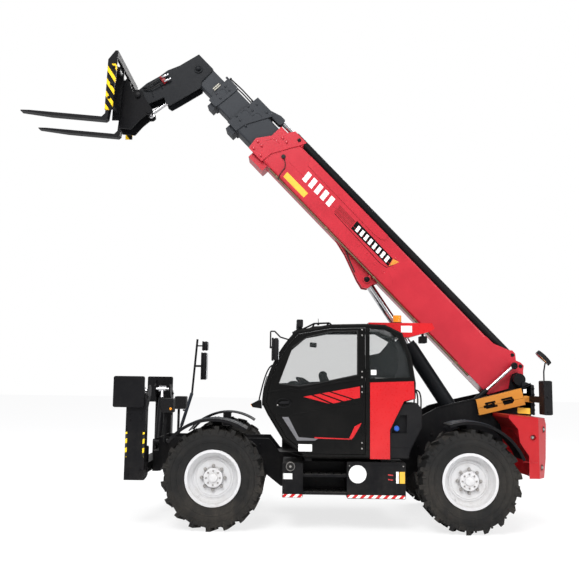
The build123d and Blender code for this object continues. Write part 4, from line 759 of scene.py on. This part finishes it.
# seams, lids and hinges of the boxes
band(SIDE, [(-768, 800), (-74, 800)], 3, *layer(BOX_FACE, 3), 1)
for x in (-640, -420, -200):
    prism(LEVEL, rect(x - 30, x + 30, 1085, 1135), 833, 839, 2)
for x in (480, 696):
    band(SIDE, [(x, 460), (x, 800)], 2, *layer(BOX_FACE, 2), 1)
piece("box_trim", "black")

# ---- roof, lamps and mirrors
LAMP_Y = (420, 980)  # the two work lamps on the roof
RAIL = ((500, 2432), (341, 2512), (150, 2522), (130, 2500))
for y in LAMP_Y:
    prism(SIDE, [(520, 2380), (600, 2330), (616, 2400), (548, 2440)], -y - 70, -y - 50, 3)
for y in (380, 1020):
    for (x0, z0), (x1, z1) in zip(RAIL, RAIL[1:]):
        a, b = point(x0, y, z0), point(x1, y, z1)
        lathe(aimed(a, b), rod(11, (b - a).length * 1000), 12)
for x, z in ((341, 2512), (160, 2522)):
    lathe(sideways(x, 380, z, 1), rod(11, 640), 12)
# aerial and the low boss behind it
lathe(LEVEL, [(0, 2515), (14, 2515), (14, 2535), (4, 2542), (3, 2600), (0, 2602)], 12, (279, 700))
lathe(LEVEL, [(0, 2490), (16, 2490), (16, 2520), (6, 2530), (0, 2530)], 12, (-40, 760))
piece("roof_rail", "plastic")
for y in LAMP_Y:
    prism(facing(560, y, 2515), rect(-48, 48, -36, 36), 0, 4, 2)
prism(facing(-1120, 670, 2345, -1), rect(-58, 58, -36, 36), 0, 4, 2)
for h in (1, -1):
    disc(facing(HEADLAMP_X, h * 580, 1460), (0, 0), 66, 0, 5, 32, 2)
piece("lamp_lenses", "lamp")
for h in (1, -1):
    lathe(facing(HEADLAMP_X, h * 580, 1460), bead(67, 78, 0, 8, 2), 32)
    prism(SIDE, rect(2150, 2180, 1362, 1340), *layer(560, 40, h), 2)
piece("lamp_rims", "plastic")
for h in (1, -1):
    disc(SIDE, (2160, 1420), 17, *layer(669, 8, h), 16, 2)
piece("headlamp_indicators", "amber")

# wiper and grab rail at the windscreen
disc(facing(968, 700, 1500), (0, 0), 22, 0, 20, 16, 3)
piece("wiper_boss", "plastic")
hose("wiper_arm", [point(985, 700, 1500), point(978, 760, 1700), point(925, 830, 1850)], 6,
     look="plastic")
hose("grab_rail", [point(x, 1085, z) for x, z in ((985, 1470), (1015, 1500), (1008, 1590),
                                                  (935, 1880), (870, 1990), (840, 1985))],
     9, look="plastic")

lathe(aimed(point(2256, -1000, 1100), point(2108, -1000, 1600)),
      [(16, 0), (25, 4), (25, 508), (16, 512)], 20)
piece("mirror_post_sleeve", "fender")
# mirror housings and their glass: x near the housing's front, and its extent in y and z
MIRRORS = ((840, 1080, 1198, 2040, 2320), (1960, -1120, -960, 1790, 2200),
           (1950, -1100, -980, 2230, 2370))
for x, y0, y1, z0, z1 in MIRRORS:
    prism(SIDE, rect(x - 62, x + 2, z0, z1), -y0, -y1, 26)
piece("mirror_shells", "plastic")
for x, y0, y1, z0, z1 in MIRRORS:
    prism(facing(x - 62), rect(y0 + 10, y1 - 10, z0 + 12, z1 - 12), 2, -2.5, 1)
rear_mirror = place(-2520, 1000, 2120, (0, 1, 0), (0.72, 0, -0.69))
prism(rear_mirror, oval(32, 68, 102), 24, 26.5, 1)
piece("mirror_glass", "mirror")

# ---- inside the cab
SEAT_Y = 700
# head restraint, arm rest and the seat's two side bolsters
prism(SIDE, [(-352, 1965), (-300, 1965), (-322, 2130), (-352, 2150), (-385, 2130)],
      *layer(590, 220), 18)
prism(SIDE, [(-120, 1352), (110, 1352), (120, 1376), (-120, 1392)], *layer(348, 114), 10)
for h in (-1, 1):
    prism(SIDE, [(-380, 1330), (60, 1322), (70, 1380), (-240, 1400), (-370, 1500)],
          -SEAT_Y - h * 236, -SEAT_Y - h * 200, 14)
piece("seat_trim", "fabric")
# plates and mouldings: outline, y of the face nearest the middle, thickness, edge width
CAB_FORMS = (
    # dark plate on the right-hand wall's rear, seen through the quarter window: painted shade that
    # darkens the cab's inside
    ([(-306, 1850), (-860, 1850), (-850, 2100), (-800, 2250), (-700, 2360), (-640, 2270),
      (-560, 2180), (-306, 2120)], 300, 12, 4),
    # trim along the rear pillar
    ([(-650, 1850), (-862, 1850), (-862, 2000), (-815, 2200), (-725, 2350), (-655, 2290),
      (-705, 2130), (-700, 1960)], 1068, 14, 4),
    # round-topped lever console
    ([(40, 1640), (150, 1880), *arc(200, 1872, 58, range(170, -1, -17)), (258, 1860),
      (200, 1640)], 370, 28, 6),
    # instrument pod, steering wheel's rim, driver's mirror, display
    ([(720, 1640), (700, 1735), (640, 1790), (560, 1800), (500, 1770), (440, 1640)], 560, 200, 16),
    ([(500, 1745), (330, 1700), (300, 1715), (300, 1735), (470, 1840), (560, 1850), (560, 1820)],
     640, 24, 8),
    ([(300, 2225), (386, 2235), (386, 2290), (300, 2282)], 640, 160, 8),
    ([(520, 1640), (640, 1690), (610, 1800), (490, 1750)], 470, 110, 10),
)
for outline, y, thick, width in CAB_FORMS:
    prism(SIDE, outline, *layer(y, thick), width)
# knob and lever
lathe(SIDE, rod(14, 25, -405), 12, (-60, 1470))
prism(place(60, 400, 1376, (1, 0, 0), (0, 0, 1)), [(-14, -14), (14, -14), (10, 10), (-10, 10)],
      0, 150, 6)
piece("cab_inside", "plastic")

# ---- tank and side plates
TANK_CAP, cap = (-668, 1240), layer(1132, 18)
disc(SIDE, TANK_CAP, 32, *cap, 24, 3)
for spot in oval(8, 27, 27, TANK_CAP):
    disc(SIDE, spot, 6, *cap, 8, 1)
piece("tank_cap", "blue")
for x, z in ((-574, 900), (-812, 900), (-600, 1172), (-950, 1270)):
    side_bolt(x, z, 1118, 18)
band(SIDE, [(-575, 1010), (-838, 1010)], 4, *layer(1120, 3), 1)
piece("tank_trim", "plastic")
for z in range(1175, 1175 + 4 * 42, 42):
    for x in range(-945, -945 - 4 * 40, -40):
        prism(SIDE, rect(x, x - 28, z, z + 30), *layer(PLATE_FACE, 3), 1)
piece("side_vent", "grey")

for h in (1, -1):
    band(SIDE, [(-1300, 1462), (-1617, 1538), (-2227, 1680), (-2430, 1728), (-2545, 1782)],
         7, *layer(PLATE_FACE, 8, h), 2)
    for x, z in ((-2588, 1735), (-2590, 1655), (-2592, 1520), (-2590, 1455), (-2588, 1405),
                 (-1240, 1120), (-1060, 960), (1020, 960), (1120, 860), (2240, 960), (2240, 760)):
        side_bolt(x, z, PLATE_FACE, 26, h)
    # boom pivot's keeper plate and pin end
    disc(SIDE, PIVOT, 62, *layer(224, 8, h), 32, 2)
    side_bolt(PIVOT[0] + 34, PIVOT[1] - 30, 232, 16, h)
    disc(SIDE, (-1427, 1205), 30, *layer(PLATE_FACE, 8, h), 24, 2)
    # rear ends of the side plates, which run back to the counterweight's mount
    prism(SIDE, [(-2440, 1812), (-2478, 1826), (-2602, 1778), (-2605, 1392), (-2440, 1392)],
          *layer(PLATE_FACE - 10, 10, h), 2)
piece("plate_bolts", "black")
# the safety strut's rear tongue, which lies on the side plate
prism(SIDE, [(-2462, 1640), (-2578, 1634), (-2572, 1554), (-2440, 1562)],
      *layer(PLATE_FACE + 1, 7), 1.5)
for spot in ((-1940, 1550), (-2330, 1630)):
    disc(SIDE, spot, 1, *layer(PLATE_FACE + 2, 1), 6)
piece("strut_tongue", "orange")
for y in range(-220, 221, 110):
    for z in (960, 660):
        bolt(facing(FRONT_FACE, y, z), 24)
piece("front_bolts", "black")

level_rod = nodes["level_rod"]
eye_out = max((level_rod.matrix_world @ Vector(c)).y for c in level_rod.bound_box) * 1000
for h in (1, -1):
    eye = outward(*LEVEL_EYE, h, 0)
    disc(eye, (0, 0), 46, eye_out - 2, eye_out + 4, 32, 1.5)
    lathe(eye, bead(22, 37, eye_out + 3, eye_out + 8, 4), 32)
piece("level_eye_caps", "black", "boom")

# cut-outs and fold of the safety strut, drawn along its length from the front lower corner
STRUT_FACE = 430
strut = place(-1850, 0, 1388, (-610, 0, 145), (0, 1, 0))
for line in ([(110, 118), (250, 118)], [(135, 118), (135, 62)], [(215, 118), (215, 62)],
             [(110, 62), (265, 62)], [(330, 122), (480, 122)], [(470, 122), (470, 60)],
             [(350, 62), (470, 62)]):
    band(strut, line, 13, STRUT_FACE, STRUT_FACE + 2)
band(strut, [(10, 82), (620, 82)], 1.5, STRUT_FACE, STRUT_FACE + LABEL)
piece("strut_slots", "cab_black")

# ---- counterweight and rear panels
WEIGHT_FACE, SIDE_HOLE = 1119, (-2330, 1150)


def corner_holes(h):
    """Places of the two bolt holes in the slanting corner on hand h."""
    (x, y), (dx, dy) = (-2480, 1015), (0.616, 0.788)  # the slant's middle and its direction
    return [place(x - dx * shift, h * (y - dy * shift), z, (-dx, -h * dy, 0), (-dy, h * dx, 0))
            for z, shift in ((790, -60), (1242, 30))]


for h in (1, -1):
    for spot in corner_holes(h):
        lathe(spot, [(38, 0), (40, 4), (47, 4), (50, 0)], 28)
    lathe(SIDE, bead(33, 45, *layer(WEIGHT_FACE, 5, h), 3), 28, SIDE_HOLE)
    band(SIDE, [(-2200, 862), (-2380, 850)], 4, *layer(WEIGHT_FACE, 4, h), 1)
piece("counterweight_rims", "shaded_red")
for h in (1, -1):
    for spot in corner_holes(h):
        disc(spot, (0, 0), 39, 0, LABEL, 28)
piece("counterweight_holes", "rubber")
for h in (1, -1):
    for spot in corner_holes(h):
        bolt(spot, 26, base=1)
    side_bolt(*SIDE_HOLE, 1086, 30, h)
piece("counterweight_bolts", "steel")

for look, low, high in (("amber", 1740, 1815), ("red_lens", 1570, 1725), ("lamp", 1480, 1555)):
    for h in (1, -1):
        prism(facing(REAR_FACE), rect(*sorted((h * 925, h * 1075)), low, high), 0, -8, 3)
    piece(f"rear_{look}", look)
for h in (1, -1):
    band(facing(REAR_FACE), rect(*sorted((h * 915, h * 1085)), 1432, 1828), 5, 0, -10, 2,
         closed=True)
    for z in (1800, 1640, 1460):
        side_bolt(-2530, z, 1100, 18, h)
piece("rear_lamp_frames", "plastic")

BEACON = (-760, 560)
lathe(LEVEL, [(0, 2545), (66, 2545), (68, 2552), (68, 2570), (60, 2577), (0, 2577)], 36, BEACON)
piece("beacon_base", "plastic")
for z in (2592, 2612, 2632, 2652):
    lathe(LEVEL, [(54, z - 4), (58, z), (54, z + 4)], 36, BEACON)
piece("beacon_ribs", "amber")

# ---- hood on the right-hand side
for x in (-700, 620):
    prism(SIDE, rect(x - 22, x + 22, 1200, 1290), *layer(BOX_FACE, 10, -1), 3)
    disc(SIDE, (x, 1232), 13, *layer(BOX_FACE + 10, 6, -1), 16, 1.5)
prism(SIDE, rect(-60, 80, 1260, 1300), *layer(BOX_FACE, 22, -1), 6)
for x in (-520, 380):
    prism(LEVEL, rect(x - 40, x + 40, -380, -420), 1445, 1475, 4)
band(SIDE, [(-735, 1180), (735, 1100)], 4, *layer(BOX_FACE, 3, -1), 1)
piece("hood_trim", "plastic")
for k in range(14):
    z = 712 + 35 * k
    prism(SIDE, rect(-630, -80, z, z + 6), *layer(1100, 12, -1), 1)
piece("hood_mesh", "iron")
for x0, x1 in ((-740, -480), (480, 720)):
    prism(SIDE, rect(x0, x1, 510, 548), *layer(BOX_FACE, LABEL, -1))
piece("hood_strips", "diagonal")

# ---- hoses and sensor
SENSOR = (4411, -172)
for number, h in enumerate((1, -1)):
    hose(f"lift_hose_{number}",
         [boom_point(u, w, h * y) for u, w, y in ((3159, -250, 150), (3060, -330, 144),
                                                  (2800, -480, 126), (2560, -560, 114))],
         9, "boom")
for number, back in enumerate((55, 105, 150)):
    y = 450 - back / 2
    hose(f"cab_hose_{number}",
         [point(-842, y, 1860 - back), point(-905 - back, y, 1790 - back / 2),
          point(-950 - back, y, 1620), point(-950 - back, 365, 1470),
          point(-950 - back, 350, 1400)], 10)
hose("sensor_cable", [boom_point(*SENSOR, 196), boom_point(4278, -226, 200),
                      boom_point(4271, -375, 200), boom_point(4224, -455, 190)], 6, "boom")
disc(BOOM_SIDE, SENSOR, 30, *layer(BOOM_FACE, 24), 20, 4)
# screws of the pipes' clamps
for u in (700, 1500, 2300, 3250, 4250):
    x, z = boom_xz(u, -262)
    for y in (126, 146, 166):
        bolt(place(x, y, z, (0, 1, 0), -above), 10)
piece("boom_sensor", "rubber", "boom")

# ---- fenders and stabilisers
FENDERS = {"front": (700, range(39, 123, 5)), "rear": (703, range(72, 157, 5))}
for corner in ("front_left", "front_right", "rear_left", "rear_right"):
    end, hand = corner.split("_")
    x, h = AXLES[end], HANDS[hand]
    radius, degrees = FENDERS[end]
    crown = radius + AXLE_Z
    for y in (860, 1100):
        band(SIDE, arc(x, AXLE_Z, radius + 14, degrees), 4, *layer(y, 12, h), 1)
    for dx in (20, -20):
        for y in (790, 840):
            lathe(LEVEL, [(0, crown + 12), (11, crown + 12), (9, crown + 18), (0, crown + 19)],
                  12, (x + dx, h * y))
    piece(f"fender_ribs_{corner}", "fender", "knuckle_" + corner)
for hand, h in HANDS.items():
    body = f"stabiliser_{hand}"
    for x in (2402, 2615):
        prism(facing(x), rect(*sorted((h * 1080, h * 1082)), 850, 1150), 0, 23)
    piece(f"stabiliser_marks_{hand}", "hazard", body)
    for x, sense in ((2400, -1), (2640, 1)):
        for y, z in ((850, 680), (1000, 1580)):
            pin = facing(x, h * y, z, sense)
            disc(pin, (0, 0), 26, 0, 7, 24, 2)
            bolt(pin, 18, base=7)
    for z in (1380, 1300, 700, 640):
        for x in (2450, 2590):
            bolt(sideways(x, h * 1080, z, h), 20)
    piece(f"stabiliser_bolts_{hand}", "black", body)

# ---- stage
FLOOR_HALF, FLOOR_Z = 60, -0.001  # metres
GLOW, GLOW_SHARE = 1.06, 0.72  # the camera sees the floor mostly as a white glow
floor_mesh = bpy.data.meshes.new("floor")
floor_mesh.from_pydata([(a * FLOOR_HALF, b * FLOOR_HALF, FLOOR_Z)
                        for a, b in ((-1, -1), (1, -1), (1, 1), (-1, 1))], [], [(0, 1, 2, 3)])
floor = add_object("floor", floor_mesh)
floor_mat = bpy.data.materials.new("pale_floor")
tree = cleared(floor_mat)
pale = node(tree, "ShaderNodeBsdfDiffuse", {"Color": rgb(0.86, 0.86, 0.86)})
glow = node(tree, "ShaderNodeEmission", {"Color": rgb(1, 1, 1), "Strength": GLOW})
seen = node(tree, "ShaderNodeLightPath").outputs["Is Camera Ray"]
end_in(tree, "ShaderNodeOutputMaterial", node(tree, "ShaderNodeMixShader", {
    0: math(tree, "MULTIPLY", seen, GLOW_SHARE), 1: pale.outputs[0], 2: glow.outputs[0]}))
floor_mesh.materials.append(floor_mat)

# The world is white to the camera, also through glass, and a soft grey sky to everything else.
world = bpy.data.worlds.new("studio")
bpy.context.scene.world = world
tree = cleared(world)
path = node(tree, "ShaderNodeLightPath").outputs
seen = math(tree, "MAXIMUM", path["Is Camera Ray"], path["Is Transmission Ray"])
sky_height = part_of(tree, node(tree, "ShaderNodeTexCoord").outputs["Generated"], "Z")
sky = mix(tree, ramp(tree, sky_height, -0.1, 0.7), rgb(0.62, 0.62, 0.62), rgb(1.0, 1.0, 1.02))
backdrop = node(tree, "ShaderNodeBackground", {"Color": mix(tree, seen, sky, rgb(1, 1, 1)),
                                               "Strength": ramp(tree, seen, 0.0, 1.0, 0.85, 1.0)})
end_in(tree, "ShaderNodeOutputWorld", backdrop)

# ---- light and camera
# where it stands and what it points at in metres, size in metres, power in watts
LIGHTS = {"key": ((3.5, 15.0, 16.0), (-0.8, 0.4, 2.0), 9.0, 3500),
          "fill": ((-9.0, 7.0, 5.0), (-1.0, 0.0, 1.6), 6.0, 380),
          "rim": ((-2.0, -9.0, 9.0), (-0.5, 0.0, 2.5), 5.0, 600)}
for name, (where, target, size, power) in LIGHTS.items():
    data = bpy.data.lights.new(name, "AREA")
    data.shape = "DISK"
    data.size = size
    data.energy = power
    light = add_object(name, data)
    light.location = where
    light.rotation_euler = (Vector(target) - Vector(where)).to_track_quat("-Z", "Y").to_euler()

# The camera as fitted to the photograph: it stands on the machine's left and looks at that side.
CAMERA_AT = (620.7, 10357.5, 1824.3)
YAW, PITCH, ROLL = radians(0.215), radians(6.80), radians(0.76)
SENSOR_WIDTH, FOCAL_PIXELS, PICTURE_WIDTH = 36.0, 747.2, 579
forward = Vector((sin(YAW) * cos(PITCH), -cos(YAW) * cos(PITCH), sin(PITCH)))
flat_right = forward.cross(Vector((0, 0, 1))).normalized()
flat_up = flat_right.cross(forward)
right = flat_right * cos(ROLL) + flat_up * sin(ROLL)
up = flat_up * cos(ROLL) - flat_right * sin(ROLL)
camera_data = bpy.data.cameras.new("camera")
camera_data.sensor_width = SENSOR_WIDTH
camera_data.lens = SENSOR_WIDTH * FOCAL_PIXELS / PICTURE_WIDTH
camera_data.clip_end = 200
camera = add_object("camera", camera_data)
stand = Matrix((right, up, -forward)).transposed().to_4x4()
stand.translation = point(*CAMERA_AT)
camera.matrix_world = stand
bpy.context.scene.camera = camera
bpy.context.scene.view_settings.view_transform = "Standard"
